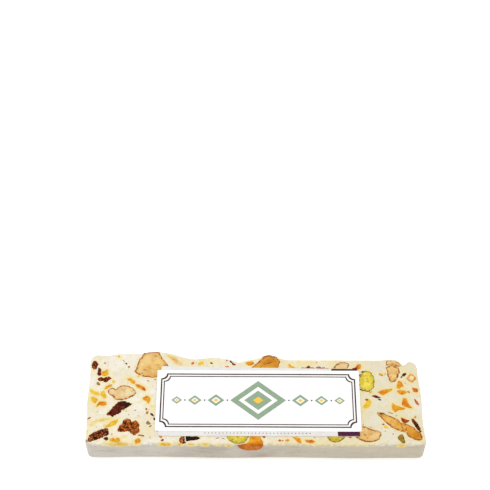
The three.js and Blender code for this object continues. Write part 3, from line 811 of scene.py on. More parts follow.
# each kind's points round its outline and across it, how far it stands out of the nougat, how ragged
# its outline is and how uneven its face (height and size of each wave), the rows of its flank as
# scale and depth, and how far its foot leans sideways
nutShape = {
    "around": 168, "across": 16, "lift": 0.05, "ragged": [(0.12, 1.9), (0.08, 0.7)],
    "relief": [(0.06, 3.0), (0.035, 0.9)],
    "flank": [(1.0, 0.3), (0.99, 0.8), (0.96, 1.7), (0.88, 2.9), (0.72, 4.1), (0.45, 5.0)], "foot": 5.3,
}
figShape = {
    "around": 140, "across": 14, "lift": 0.06, "ragged": [(0.16, 1.8), (0.13, 0.7)],
    "relief": [(0.12, 2.2), (0.08, 0.8)],
    "flank": [(1.0, 0.3), (0.97, 1.0), (0.86, 2.2), (0.6, 3.2)], "foot": 3.6,
}
fruitShape = {
    "around": 168, "across": 14, "lift": 0.06, "ragged": [(0.1, 1.9), (0.05, 0.7)],
    "relief": [(0.06, 3.2), (0.02, 1.0)],
    "flank": [(1.0, 0.3), (0.98, 1.0), (0.93, 1.8), (0.85, 2.6), (0.72, 3.4), (0.54, 4.1), (0.32, 4.7)],
    "foot": 5.0, "lean": -3.2,
}
peelShape = {
    "around": 72, "across": 7, "lift": 0.05, "ragged": [(0.09, 1.3), (0.07, 0.55)],
    "relief": [(0.05, 1.6), (0.03, 0.6)],
    "flank": [(1.0, 0.25), (0.94, 0.7), (0.75, 1.2)], "foot": 1.4,
}
# how roasted, light or red each piece is, 0 to 1, as its material reads it; two values run from its
# left end to its right one
tones = {
    "almond_back_left": (0.1, 0.22), "almond_left": 0.0, "almond_back_middle": (0.4, 0.5),
    "almond_back_right": 0.0, "almond_right": 0.14, "almond_right_chip": 0.0,
    "almond_long_left": (0.22, 0.4), "almond_long_right": (0.4, 0.55), "almond_front_right": (0.16, 0.06),
    "fig_diagonal": (0.72, 0.12), "fig_cluster": (0.95, 1.0), "fig_corner": (0.3, 0.7),
    "fig_back_left": (0.3, 0.65), "fig_stub": (0.3, 0.7), "fig_bar": (0.4, 0.75),
    "fig_strip": (0.0, 0.3), "fig_strip_end": (0.3, 0.55), "fig_sliver": (0.5, 0.65),
    "cherry_chip": 0.85, "pistachio_chip": 1.0, "pistachio_front_right": 0.76,
    "pistachio_front_middle": 0.66,
    "peel_01": 0.0, "peel_02": 0.08, "peel_03": 0.22, "peel_04": (0.55, 0.35), "peel_05": 0.26,
    "peel_06": (0.25, 0.35), "peel_07": (0.3, 0.62), "peel_08": (0.45, 0.35), "peel_09": 0.18,
    "peel_10": (0.25, 0.35), "peel_11": 0.38, "peel_12": 0.34, "peel_13": 0.4, "peel_14": (0.95, 0.4),
    "peel_15": (0.5, 0.25), "peel_16": (0.3, 0.4), "peel_17": 0.42, "peel_18": 0.34, "peel_19": 0.36,
    "peel_20": 0.62, "peel_21": 0.45, "peel_22": 0.08, "peel_23": 0.32, "peel_24": 0.5, "peel_25": 0.28,
}
# pieces that lie just under the surface, and how much nougat veils them at their rim and inside it
veiled = {"peel_12": (0.6, 0.05), "peel_21": (0.1, 0.95)}
# pieces that a wall cuts too, how near the wall that begins and is whole, and how far the cut stands out
cutByWall = {"almond_back_left": "back", "almond_back_middle": "back", "candied_fruit": "front"}
wallCut = {"begins": 1.0, "whole": 0.35, "lift": 0.12}
# how the rings of a cut face bunch toward its rim, and how far down and in from there it is rounded
cutFaceShape = {"bunch": 1.35, "roundDown": 0.04, "roundIn": 0.25}


def unevenness(parts, spots, seed):
    # several sizes of smooth noise added up
    return sum(height * waves(spots, size, seed + k) for k, (height, size) in enumerate(parts))


def cutBody(name, shape, seed):
    # A piece cut by the knife: rings from its middle across its face out to its ragged outline, then
    # down its flank to a blunt foot. Where a wall cuts it too, its flank there lies in the wall.
    corners = setIn[name]
    middle = middleOf(corners)
    rim = evenly(corners, shape["around"])
    room = insideBy(corners, middle[:1], middle[1:])[0]
    wander = unevenness(shape["ragged"], withHeight(rim[:, 0], rim[:, 1], 0), seed) * min(room / 2, 1)
    rim = rim + outward(rim) * wander[:, None]
    across = 1 - (1 - np.linspace(0, 1, shape["across"] + 1)[1:]) ** cutFaceShape["bunch"]
    spread = np.concatenate([[0], across])[:, None]
    x = middle[0] + spread * (rim[:, 0] - middle[0])
    y = middle[1] + spread * (rim[:, 1] - middle[1])
    toRim = np.maximum(insideBy(rim, x, y), 0)
    relief = unevenness(shape["relief"], withHeight(x, y, 0), seed + 3)
    shown = 1 - underLabel(x, y, 0.6)
    rounding = cutFaceShape["roundDown"] * (1 - ramp(0, cutFaceShape["roundIn"], toRim))
    z = cutFace(x, y) + shown * (shape["lift"] + relief * ramp(0, 0.5, toRim)) - rounding
    face = withHeight(x, y, z)
    rings = [face[0, :1], *face[1:]]
    pivot = np.array(middle) + (shape.get("lean", 0), 0)
    wall = cutByWall.get(name)
    if wall == "back":
        pivot[1] = y[-1].max()
        away = backAt(x[-1], 1) - y[-1]
    if wall == "front":
        pivot[1] = y[-1].min()
        away = y[-1] - frontAt(x[-1])
    for scale, drop in shape["flank"]:
        flankX = pivot[0] + scale * (x[-1] - pivot[0])
        flankY = pivot[1] + scale * (y[-1] - pivot[1])
        flankZ = np.full(flankX.shape, bar["height"] - drop)
        if wall:
            atWall = ramp(wallCut["begins"], wallCut["whole"], away)
            seenX = -flankX if wall == "back" else flankX
            flankY += (onFace(wall, seenX, flankZ, wallCut["lift"])[:, 1] - flankY) * atWall
        rings.append(withHeight(flankX, flankY, flankZ))
    foot = (pivot[0], rings[-1][:, 1].mean(), bar["height"] - shape["foot"])
    points = np.concatenate(rings + [np.array([foot])])
    flankCount = len(shape["flank"]) * shape["around"] + 1
    toEdge = np.concatenate([[room], toRim[1:].ravel(), np.zeros(flankCount)])
    side = np.concatenate([np.zeros(len(points) - flankCount), np.ones(flankCount)])
    return points, toEdge, side


def placeCut(name, shape, material, slot, seed):
    points, toEdge, side = cutBody(name, shape, seed)
    rings = shape["across"] + len(shape["flank"])
    ends = np.broadcast_to(tones.get(name, 0.5), 2)
    x, y = points[:, 0], points[:, 1]
    tone = ends[0] + (ends[1] - ends[0]) * (x - x.min()) / np.ptp(x)
    if slot == "almond":        # painted shade: the skin band is drawn broader along the side nearest the front
        toEdge = toEdge / (1 + 0.35 * ramp(0.1, 0.9, (y.max() - y) / np.ptp(y)))
    atRim, within = veiled.get(name, (0, 0))
    patchy = 0.3 * waves(points, 1.1, seed + 5) * (name in veiled)
    veil = np.clip(atRim + (within - atRim) * ramp(0.35, 1.0, toEdge) + patchy, 0, 1)
    if cutByWall.get(name) == "front":
        side = np.maximum(side, 0.9 * ramp(1.6, 0.1, y - frontAt(x)))
    notes = {"rim": toEdge, "side": side, "tone": tone, "veil": veil}
    makePiece(name + "_cut", points, ringFaces(rings, shape["around"]), material, [name], notes)


kinds = [
    ("almond", nutShape, almondMaterial, "almond"),
    ("pistachio", nutShape, pistachioMaterial, "pistachio"),
    ("fig", figShape, figMaterial, "dried_fig"),
    ("cherry", peelShape, peelMaterial, "candied_fruit"),
    ("candied", fruitShape, amberMaterial, "candied_fruit"),
    ("peel", peelShape, peelMaterial, "candied_peel"),
]
for prefix, shape, material, slot in kinds:
    for number, name in enumerate(n for n in nodeNames if n.startswith(prefix)):
        placeCut(name, shape, material, slot, 100 + 7 * number)
print("pieces in the cut face:", len(setIn))


chip = {
    "sides": 7,
    "turn": 0.38,               # how far a side may turn, as a share of the step between sides
    "near": 0.62,               # how near the middle a side may come
    "least": 0.08,              # the least cosine that a side's reach is divided by
    "apart": 0.55,              # how near two may lie, as a share of their lengths added up
    # rows from top to foot as scale and height share: above 0 the share is of the rise out of the
    # nougat, below 0 of the depth in it
    "rows": [(0.35, 1.0), (0.7, 0.96), (0.9, 0.7), (1.0, 0.0), (0.98, -0.35), (0.72, -0.8)],
}


def chips(face, places, rise, depth, seed, around):
    # Chopped pieces on a face, all at once, each a body of rings round a random polygon: its reach at
    # an angle is that of the nearest side, scaled to the piece's length and width. Places are a, b,
    # length, width, turn in degrees.
    places = np.asarray(places, float)[:, :, None, None]
    a, b, length, width, turn = places[:, 0], places[:, 1], places[:, 2], places[:, 3], places[:, 4]
    rng = np.random.default_rng(seed)
    angle = np.arange(around) * fullTurn / around
    sides = (len(places), chip["sides"])
    facing = np.arange(chip["sides"]) + rng.uniform(-chip["turn"], chip["turn"], sides)
    facing = facing[:, :, None] * fullTurn / chip["sides"]
    away = rng.uniform(chip["near"], 1.0, sides)[:, :, None]
    reach = (away / np.maximum(np.cos(angle - facing), chip["least"])).min(1)[:, None, :]
    outX, outY = reach * np.cos(angle), reach * np.sin(angle)
    outX = outX / np.abs(outX).max(-1, keepdims=True)
    outY = outY / np.abs(outY).max(-1, keepdims=True)
    scale, level = np.array([(0, 1.0)] + chip["rows"] + [(0, -1.0)]).T
    scale, level = scale[None, :, None], level[None, :, None]
    along = scale * outX * length / 2
    across = scale * outY * width / 2
    cos, sin = np.cos(np.radians(turn)), np.sin(np.radians(turn))
    placeA = a + cos * along - sin * across
    placeB = b + sin * along + cos * across
    height = np.where(level > 0, rise * level, depth * level) + np.zeros_like(placeA)
    spots = onFace(face, placeA, placeB, height)
    toEdge = np.minimum(length, width) * (1 - scale) * (level > 0) + np.zeros_like(placeA)
    bodies = [np.concatenate([each[:1, 0], each[1:-1].reshape(-1, 3), each[-1:, 0]]) for each in spots]
    rims = [np.concatenate([each[:1, 0], each[1:-1].ravel(), each[-1:, 0]]) for each in toEdge]
    return bodies, rims


def placeChips(name, groups, material, around, skinned=True):
    # one joined mesh for a kind: groups are face, places with a tone last, rise, depth and seed
    bodies, rims, shades = [], [], []
    for face, places, rise, depth, seed in groups:
        made, toEdge = chips(face, [place[:5] for place in places], rise, depth, seed, around)
        bodies += made
        rims += toEdge
        shades += [np.full(len(toEdge[0]), place[5]) for place in places]
    points, faces = joined(bodies, len(chip["rows"]), around)
    toEdge = np.concatenate(rims) if skinned else np.full(len(points), 2.0)
    makePiece(name, points, faces, material, (), {"rim": toEdge, "tone": np.concatenate(shades)})
    print(name + ":", len(bodies))


# where pieces are strewn on each face: the spans of a and b, as that face is looked at
fromCorner = 3
along, upWall = (-71, 71), (1.5, 11.5)
spans = {
    "top": ((-73, 73), (-21.5, 20)), "front": (along, upWall), "back": (along, upWall),
    "left": ((fromCorner - bar["back"], -bar["front"] - fromCorner), upWall),
    "right": ((bar["front"] + fromCorner, bar["back"] - fromCorner), upWall),
    "under": (along, (-19, 19)),
}


def clearOfLabel(places, gap=0.3):
    # places on the cut face that neither the label nor a larger piece covers
    kept = []
    for place in places:
        x, y = np.array(place[:1]), np.array(place[1:2])
        over = max(insideBy(corners, x, y)[0] for corners in setIn.values())
        if over < -gap and underLabel(x, y, 0.2)[0] == 0:
            kept.append(place)
    return kept


def strewn(face, seed, count, lengths, rise, depth, shades=(0, 1), slim=(0.5, 0.95), spanB=None):
    # A group of places at random on a face: a, b, length, width, turn and tone, small ones the most
    # common. One that would touch an earlier one is left out.
    rng = np.random.default_rng(seed)
    size = lengths[0] + (lengths[1] - lengths[0]) * rng.random(count) ** 2
    spanA = spans[face][0]
    places = np.stack([rng.uniform(*spanA, count), rng.uniform(*(spanB or spans[face][1]), count), size,
                       size * rng.uniform(*slim, count), rng.uniform(0, 180, count),
                       rng.uniform(*shades, count)], 1)
    apart = np.hypot(*(places[:, None, :2] - places[None, :, :2]).transpose(2, 0, 1))
    touching = apart < chip["apart"] * (size[:, None] + size)
    places = places[~np.tril(touching, -1).any(1)].tolist()
    return face, clearOfLabel(places) if face == "top" else places, rise, depth, seed + 1


# candied peel on the cut face: x, y, length, width, turn, tone
peelBits = [
    (-64.0, 9.5, 2.6, 1.4, -55, 0.08), (-63.0, -17.6, 1.8, 0.8, 90, 0.25),
    (-68.4, 19.1, 1.3, 0.8, -60, 0.3), (-62.3, 22.7, 1.1, 1.0, 0, 0.25), (-52.8, 12.0, 1.6, 0.9, 80, 0.1),
    (-41.6, -18.2, 3.2, 1.4, -72, 0.5), (-40.6, -20.4, 1.8, 1.5, 0, 0.85), (-28.3, 19.2, 1.6, 1.6, 0, 0.58),
    (-24.6, 19.2, 2.6, 2.0, 30, 0.1), (-12.7, 17.3, 1.9, 1.2, 0, 0.45), (-12.8, 20.7, 0.8, 0.7, 0, 0.75),
    (-9.3, 18.6, 1.3, 1.0, -40, 0.9), (4.0, -18.4, 1.8, 1.2, -30, 0.8), (10.9, -20.3, 1.4, 1.2, 0, 0.7),
    (12.2, -20.4, 1.0, 0.8, 0, 0.7), (14.3, -20.3, 2.0, 1.2, 20, 0.42), (18.4, -18.1, 0.8, 0.6, 0, 0.45),
    (26.3, -18.6, 0.8, 0.6, 0, 0.7), (39.5, -18.4, 0.8, 0.6, 0, 0.75), (42.0, -18.6, 1.6, 0.9, 0, 0.62),
    (12.6, 16.6, 3.0, 0.8, 0, 0.05), (16.7, 17.2, 3.4, 2.0, -20, 0.12), (15.8, 18.6, 1.6, 1.4, 0, 0.12),
    (21.8, 17.0, 1.0, 0.7, 0, 0.75), (24.5, 17.2, 2.0, 1.6, 90, 0.92), (29.2, 17.0, 2.0, 1.6, 0, 0.92),
    (30.8, 17.0, 1.4, 0.9, 0, 0.75), (32.0, 16.2, 1.0, 0.7, 0, 0.75), (28.1, 19.8, 0.9, 0.6, 0, 0.35),
    (45.4, 16.6, 2.2, 1.4, 0, 0.95), (57.3, 13.6, 2.4, 1.5, -25, 0.38), (59.3, 13.9, 0.8, 0.6, 0, 0.45),
    (69.2, 4.6, 1.6, 1.2, -45, 0.35), (72.4, -0.7, 4.2, 1.3, -64, 0.7), (50.3, 0.4, 1.8, 1.2, 0, 0.7),
    (52.2, 4.3, 1.8, 0.9, 35, 0.3), (71.3, -8.3, 1.6, 1.3, 90, 0.3), (57.0, -12.0, 1.4, 1.0, 0, 0.65),
    (58.1, -13.5, 2.2, 1.7, -20, 0.1), (57.6, -15.5, 0.5, 0.5, 0, 0.75), (61.0, -16.8, 0.7, 0.6, 0, 0.75),
    (-67.2, 17.9, 0.7, 0.5, 0, 0.2), (-56.1, -7.6, 0.6, 0.4, 30, 0.6), (-70.2, -6.2, 0.6, 0.4, 0, 0.4),
]
# and pressed into the rounded top edge of the front wall: x, z, length, width, turn, tone
edgeBits = [
    (-62.0, 12.5, 3.0, 0.9, 0, 0.05), (-57.6, 12.4, 2.6, 1.0, 4, 0.12), (-39.9, 12.3, 2.4, 1.1, 0, 0.2),
    (-37.8, 12.5, 1.4, 0.9, 0, 0.28), (-33.0, 12.6, 1.2, 0.7, 0, 0.2), (-21.6, 12.6, 1.8, 0.7, 0, 0.1),
    (-11.4, 12.4, 1.6, 1.0, 0, 0.25), (64.4, 12.3, 1.8, 1.1, 0, 0.2), (22.0, 12.6, 1.2, 0.5, 0, 0.2),
]
# dried fig on the cut face
figBits = [
    (-65.4, -19.7, 2.5, 2.2, 0, 0.8), (-46.8, -12.2, 0.8, 0.5, 20, 0.4), (-47.3, -11.4, 0.7, 0.5, 60, 0.4),
    (-45.7, -7.6, 2.4, 1.1, -42, 0.45), (-44.5, -9.9, 2.0, 1.1, -70, 0.45), (-51.7, -8.3, 0.5, 0.5, 0, 0.4),
    (-58.7, 18.8, 1.3, 1.0, -30, 0.5), (-59.9, 20.3, 2.4, 0.25, -45, 0.6), (-19.8, 19.3, 1.4, 0.9, -20, 0.7),
    (-10.9, 20.0, 1.8, 0.8, -50, 0.62), (-9.9, 18.9, 1.6, 1.2, -50, 0.72), (67.8, 13.6, 2.4, 1.6, 30, 0.72),
    (66.6, 12.4, 1.4, 0.8, 50, 0.62), (54.6, 2.0, 4.2, 1.5, -16, 0.68), (56.0, 0.5, 2.2, 1.0, -32, 0.65),
    (47.6, 13.2, 1.6, 0.6, 70, 0.5), (48.9, 15.1, 1.8, 0.6, 25, 0.5), (47.9, 5.7, 2.4, 0.7, -35, 0.5),
    (24.4, 17.3, 1.8, 1.2, 10, 0.95),
]
# slivers of almond skin that lie flat in the cut face
skinBits = [
    (56.5, -6.3, 3.9, 0.5, -9, 1.0), (60.4, -6.2, 3.0, 0.4, -18, 1.0), (62.9, -7.6, 1.2, 0.4, 40, 1.0),
    (-66.5, -13.0, 2.0, 0.18, 30, 0.8), (-16.5, -19.2, 2.6, 0.4, 8, 0.9), (-14.0, -19.3, 2.0, 0.4, -20, 0.9),
    (47.8, -12.7, 2.0, 0.3, 60, 0.9), (51.2, -13.6, 1.8, 0.25, -25, 0.9), (26.3, 16.3, 2.4, 0.3, 4, 1.0),
    (-61.5, -11.9, 1.2, 0.2, 40, 0.9), (68.0, 9.2, 1.4, 0.25, -50, 0.9), (72.6, 11.0, 1.5, 0.25, 60, 0.9),
]
# crumbs of roasted nut in the cut face
nutBits = [
    (23.2, 16.9, 2.0, 0.9, 10, 1.0), (26.3, 16.9, 2.4, 0.9, -10, 1.0), (28.9, 17.1, 2.6, 1.5, 0, 1.0),
    (31.0, 16.8, 2.2, 1.1, 20, 1.0), (33.0, 16.6, 1.8, 0.6, 0, 1.0), (-50.0, -18.0, 3.2, 0.9, -6, 0.9),
    (-48.4, -4.9, 1.4, 1.1, 90, 0.9), (-48.0, -6.7, 1.6, 1.3, 90, 0.8), (-53.3, -5.5, 0.7, 0.6, 0, 0.9),
    (-73.7, -9.6, 1.8, 0.9, 35, 1.0), (-57.4, 17.1, 1.3, 1.0, 0, 0.9), (-48.3, 9.7, 0.9, 0.7, 0, 0.9),
    (-57.3, -5.9, 0.7, 0.5, 0, 0.9), (-45.2, 10.4, 1.1, 0.7, 0, 0.9), (-46.2, -19.0, 0.6, 0.5, 0, 0.9),
]
# cracks and dark spots on the nuts' own faces, and pale spots (tone 0) on the back middle almond that are
# painted highlights
nutMarks = [
    (50.0, -18.0, 3.4, 0.35, 63, 0.9), (49.6, -20.2, 1.6, 0.5, 0, 0.6), (62.0, 18.4, 0.9, 0.6, 0, 1.0),
    (6.0, 19.4, 4.0, 0.35, 18, 1.0), (2.6, 17.2, 2.6, 0.3, 40, 1.0), (4.6, 22.4, 3.4, 0.4, 35, 1.0),
    (7.6, 22.6, 3.4, 0.4, -20, 1.0), (5.8, 23.2, 1.6, 0.35, 0, 0.0), (8.6, 21.4, 1.5, 0.35, -30, 0.0),
    (3.6, 21.2, 1.4, 0.35, 40, 0.0), (9.9, 20.2, 2.2, 0.4, -60, 1.0), (6.6, 21.9, 1.2, 0.3, 0, 0.0),
    (48.5, -17.2, 1.7, 0.3, -40, 0.8), (50.8, -20.5, 2.4, 0.7, 5, 0.8), (38.0, 19.0, 2.6, 0.4, 28, 0.9),
    (60.4, -10.4, 2.0, 0.25, 58, 1.0), (58.4, -8.8, 2.0, 0.25, 55, 1.0), (56.2, -7.2, 2.0, 0.35, -30, 0.9),
]
# bare crumbs that bridge the cracks between the halves of a nut
nutBridges = [
    (65.4, -11.9, 1.8, 1.5, 20, 0.5), (65.7, -12.9, 1.7, 1.6, 60, 0.42), (66.1, -14.0, 1.8, 1.5, 0, 0.5),
    (66.4, -15.2, 1.7, 1.5, 30, 0.55), (61.8, 18.8, 2.0, 1.0, 15, 0.3), (63.4, 18.7, 2.0, 1.0, -5, 0.25),
    (64.7, 18.1, 1.6, 1.0, -25, 0.4), (64.9, -11.0, 1.0, 0.8, 0, 0.0), (66.4, -13.4, 1.0, 0.7, 30, 0.0),
    (66.9, -15.6, 1.0, 0.8, 0, 0.0), (64.2, -15.2, 1.1, 0.6, 20, 0.0), (62.6, -9.8, 1.5, 0.4, 60, 0.0),
]
# chips of pistachio in the cut face
pistachioBits = [
    (-70.7, 8.3, 2.2, 1.6, -50, 1.0), (-47.2, -11.9, 2.2, 1.8, -20, 1.0), (-46.2, -13.4, 1.6, 0.7, 35, 0.9),
]

placeChips("peelCrumbs", [
    ("top", peelBits, 0.035, 0.8, 31),
    ("front", edgeBits, 0.03, 0.6, 32),
    strewn("top", 33, 150, (0.25, 0.7), 0.02, 0.3, shades=(0.05, 0.3)),
    strewn("back", 37, 46, (0.6, 3.6), 0.07, 0.8),
    strewn("left", 39, 22, (0.5, 3.4), 0.05, 0.8),
    strewn("right", 41, 22, (0.5, 3.4), 0.05, 0.8),
    strewn("under", 43, 70, (0.5, 3.8), 0.02, 0.8),
    strewn("front", 45, 14, (0.2, 0.5), 0.02, 0.3, shades=(0.3, 0.9)),
], peelMaterial, around=20)
placeChips("figCrumbs", [
    ("top", figBits, 0.04, 0.8, 51),
    strewn("top", 52, 30, (0.12, 0.3), 0.02, 0.3, shades=(0.3, 0.8)),
    strewn("back", 54, 12, (0.8, 4.2), 0.08, 0.8, shades=(0, 0.9)),
    strewn("left", 56, 5, (0.8, 4.0), 0.06, 0.8, shades=(0, 0.9)),
    strewn("right", 58, 5, (0.8, 4.0), 0.06, 0.8, shades=(0, 0.9)),
    strewn("under", 60, 20, (0.8, 4.0), 0.02, 0.8, shades=(0, 0.9)),
], figMaterial, around=24)
placeChips("almondSlivers", [
    ("top", skinBits, 0.02, 0.3, 71),
    ("top", nutBits, 0.04, 0.6, 69),
    ("top", nutMarks, 0.09, 0.3, 70),
    strewn("back", 72, 13, (3.0, 6.5), 0.1, 1.2, (0.2, 0.9), (0.4, 0.7), (3, 10)),
    strewn("left", 74, 6, (2.5, 6.5), 0.06, 1.2, (0, 0.8), (0.4, 0.7), (2.5, 10)),
    strewn("right", 76, 6, (2.5, 6.5), 0.06, 1.2, (0, 0.8), (0.4, 0.7), (2.5, 10)),
    strewn("under", 78, 22, (3.0, 6.8), 0.02, 1.2, (0, 0.8), (0.4, 0.75), (-18, 18)),
], almondMaterial, around=48)
placeChips("nutSpecks", [
    strewn("top", 35, 110, (0.14, 0.4), 0.02, 0.3, shades=(0.5, 1)),
], almondMaterial, around=12)
placeChips("nutCrumbs", [
    ("top", nutBridges, 0.07, 0.3, 68),
], almondMaterial, around=32, skinned=False)
placeChips("pistachioSlivers", [
    ("top", pistachioBits, 0.04, 0.6, 80),
    strewn("back", 81, 4, (2.5, 5.0), 0.08, 1.0, (0, 1), (0.6, 0.8), (3, 10)),
    strewn("left", 83, 2, (2.5, 5.0), 0.06, 1.0, (0, 1), (0.6, 0.8), (3, 10)),
    strewn("right", 85, 2, (2.5, 5.0), 0.06, 1.0, (0, 1), (0.6, 0.8), (3, 10)),
    strewn("under", 87, 8, (2.5, 5.5), 0.02, 1.0, (0, 1), (0.6, 0.8), (-18, 18)),
], pistachioMaterial, around=48)


figSeed = {
    "dark": "7A300A", "light": "CC701E", "crystal": "ECB47C", "roughness": 0.4, "gloss": 0.25,
    "bumps": [(0.4, 2, 0.03)],
    "around": 10, "rings": 6,
    "flat": 0.45,               # height as a share of width
    "proud": 0.08,              # how far a seed's middle stands over the cut face
    # how many are on each fig, and their width
    "figs": {"fig_cluster": (26, 0.8), "fig_corner": (46, 0.55), "fig_back_left": (9, 0.7),
             "fig_stub": (5, 0.5), "fig_strip_end": (12, 0.7), "fig_bar": (8, 0.5)},
}


def makeSeedMaterial(look):
    # Fig seeds in their sugar: small glossy grains from brown to caramel.
    material, tree, place, tone = startMaterial("figSeed", "tone")
    colour = painted(
        tree, look["dark"],
        (look["light"], tone),
        (look["crystal"], (clouds(place, 0.5, 2), 0.5, 0.75, 0, 0.5)),
    )
    return finishSurface(material, place, colour, look)


def makeSeeds(look, material):
    # Low domes, half sunk, at random within a fig's outline, each an ellipsoid of rings.
    tilt = np.linspace(0, math.pi, look["rings"] + 2)[:, None]
    angle = np.arange(look["around"]) * fullTurn / look["around"]
    ball = withHeight(np.sin(tilt) * np.cos(angle), np.sin(tilt) * np.sin(angle), np.cos(tilt))
    ball = np.concatenate([ball[:1, 0], ball[1:-1].reshape(-1, 3), ball[-1:, 0]])
    rng = np.random.default_rng(91)
    bodies, shades = [], []
    for name, (count, width) in look["figs"].items():
        corners = setIn[name]
        spots = corners.min(0) + rng.random((count * 4, 2)) * np.ptp(corners, axis=0)
        inside = insideBy(corners, spots[:, 0], spots[:, 1]) > 0.3 * width
        spots = spots[inside & (underLabel(spots[:, 0], spots[:, 1], 0.3) == 0)][:count]
        x, y = spots.T
        size = width / 2 * rng.uniform(0.6, 1.35, (len(spots), 3)) * (1, 1, look["flat"])
        base = withHeight(x, y, cutFace(x, y) + look["proud"])
        bodies += list(base[:, None] + ball * size[:, None])
        shades += [np.full(len(ball), tone) for tone in rng.uniform(0.3, 1.0, len(spots))]
    points, faces = joined(bodies, look["rings"], look["around"])
    makePiece("figSeeds", points, faces, material, (), {"tone": np.concatenate(shades)})
    print("fig seeds:", len(bodies))


makeSeeds(figSeed, makeSeedMaterial(figSeed))


paper = {
    "base": {"colour": "E9E7E4", "shade": "DFDCD8", "roughness": 0.6, "gloss": 0.3,
             "bumps": [(0.5, 3, 0.008)]},
    "panel": {"colour": "FDFDFC", "shade": "F7F6F4", "roughness": 0.45, "gloss": 0.3,
              "bumps": [(0.5, 3, 0.008)]},
    # the lower sheet lies a little askew: its corners from the front left one round
    "corners": [(-42.6, -18.3), (46.5, -18.1), (46.5, 16.3), (-42.5, 17.4)],
    "swell": 0.03,
    "curl": 0.12,               # how far a corner lifts
    "trim": 0.1,                # and how far it is rounded off
    "grid": 1.0,
}


def paperLift(x, y):
    # how far the paper stands off the flat: a slow swell and corners that lift a little
    swell = paper["swell"] * (1 + waves(withHeight(x, y, 0), 40, 61))
    farX = np.abs(x - labelPlan["middle"][0]) / (labelPlan["size"][0] / 2)
    farY = np.abs(y - labelPlan["middle"][1]) / (labelPlan["size"][1] / 2)
    return swell + paper["curl"] * ramp(0.75, 1.1, farX) * ramp(0.6, 1.1, farY)


def makeSheet(name, corners, bottom, thickness, material, node):
    # A thin closed sheet over four corners: a grid mapped on them, top and bottom, with rounded
    # corners from the map and one band of faces round the edge between the two faces.
    front = np.array([corners[0], corners[1]], float)
    rear = np.array([corners[3], corners[2]], float)
    nu = round(np.ptp(front[:, 0]) / paper["grid"])
    nv = round((rear[0, 1] - front[0, 1]) / paper["grid"])
    u, v = np.meshgrid(np.linspace(0, 1, nu), np.linspace(0, 1, nv), indexing="ij")
    soften = paper["trim"] * ramp(0.985, 1, np.abs(2 * u - 1)) * ramp(0.96, 1, np.abs(2 * v - 1))
    low = front[0] + u[..., None] * (front[1] - front[0])
    high = rear[0] + u[..., None] * (rear[1] - rear[0])
    plan = low + v[..., None] * (high - low)
    plan = plan - soften[..., None] * np.sign(plan - plan.mean((0, 1)))
    x, y = plan[..., 0], plan[..., 1]
    z = bottom + paperLift(x, y)
    upper = withHeight(x, y, z + thickness).reshape(-1, 3)
    under = withHeight(x, y, z).reshape(-1, 3)
    points = np.concatenate([upper, under])
    makePiece(name, points, gridFaces(nu, nv), material, [node], crisp=True)


panel = {
    "left": panelLow.x / mm - shiftX, "right": panelHigh.x / mm - shiftX,
    "front": panelLow.y / mm - shiftY, "back": panelHigh.y / mm - shiftY,
    "bottom": panelLow.z / mm, "top": panelHigh.z / mm,
}
panelCorners = [(panel["left"], panel["front"]), (panel["right"], panel["front"]),
                (panel["right"], panel["back"]), (panel["left"], panel["back"])]
makeSheet("labelBase", paper["corners"], labelPlan["bottom"], labelPlan["thickness"],
          makePaperMaterial("uncoatedPaper", paper["base"]), "label_base")
makeSheet("labelPanel", panelCorners, panel["bottom"], panel["top"] - panel["bottom"],
          makePaperMaterial("coatedPaper", paper["panel"]), "label_panel")

# the label's print: each ink's colour and its deeper patches, how far it stands on the paper and how
# far its edge goes into it
ink = {
    "sage": ("94AC91", "8BA388"), "brown": ("422926", "39221F"), "yellow": ("FAC850", "F3BD40"),
    "plum": ("4C1236", "431030"), "proud": 0.035, "sunk": -0.05,
    "roughness": 0.45, "gloss": 0.15, "bumps": [(0.4, 2, 0.006)],
}


def makeInkMaterial(name, look):
    # Printing ink on paper: an even film with the faintest unevenness, a little smoother than paper.
    material, tree, place = startMaterial(name + "Ink")
    colour, deep = look[name]
    film = painted(tree, colour, (deep, (clouds(place, 1.5, 3), 0.4, 0.75)))
    return finishSurface(material, place, film, look)


def outlineSteps(corners, steps):
    # points along a closed outline: each side cut into this many steps
    corners = np.asarray(corners, float)
    share = np.arange(steps)[None, :, None] / steps
    return (corners[:, None] + share * (np.roll(corners, -1, axis=0) - corners)[:, None]).reshape(-1, 2)


def onPaper(outline, level):
    # plan points at a height over the label's paper
    x, y = outline.T
    return withHeight(x, y, level + paperLift(x, y))


def inkPatch(outline, level):
    # A filled printed shape: rings from its middle out to its outline, then down into the paper.
    middle = outline.mean(0)
    shares = np.linspace(0, 1, max(2, math.ceil(np.ptp(outline, axis=0).max() / 3)) + 1)[1:]
    flat = np.concatenate([[middle]] + [middle + share * (outline - middle) for share in shares])
    parts = [onPaper(flat, level + ink["proud"]), onPaper(outline, level + ink["sunk"]),
             onPaper(middle[None], level + ink["sunk"])]
    return np.concatenate(parts), ringFaces(len(shares) + 1, len(outline))


def inkBand(outer, inner, level):
    # A printed line that closes on itself: a tube of four corners carried round between two outlines.
    section = ((inner, "sunk"), (inner, "proud"), (outer, "proud"), (outer, "sunk"))
    rows = [onPaper(outline, level + ink[height]) for outline, height in section]
    here = np.arange(4 * len(outer)).reshape(4, -1)
    after = np.roll(here, -1, 0)
    cells = np.stack([after, np.roll(after, -1, 1), np.roll(here, -1, 1), here], -1)
    return np.concatenate(rows), cells.reshape(-1, 4).tolist()


def placeInk(name, shapes, material):
    points, faces, start = [], [], 0
    for spots, cells in shapes:
        points.append(spots)
        faces += [[index + start for index in cell] for cell in cells]
        start += len(spots)
    makePiece(name, np.concatenate(points), faces, material, crisp=True)


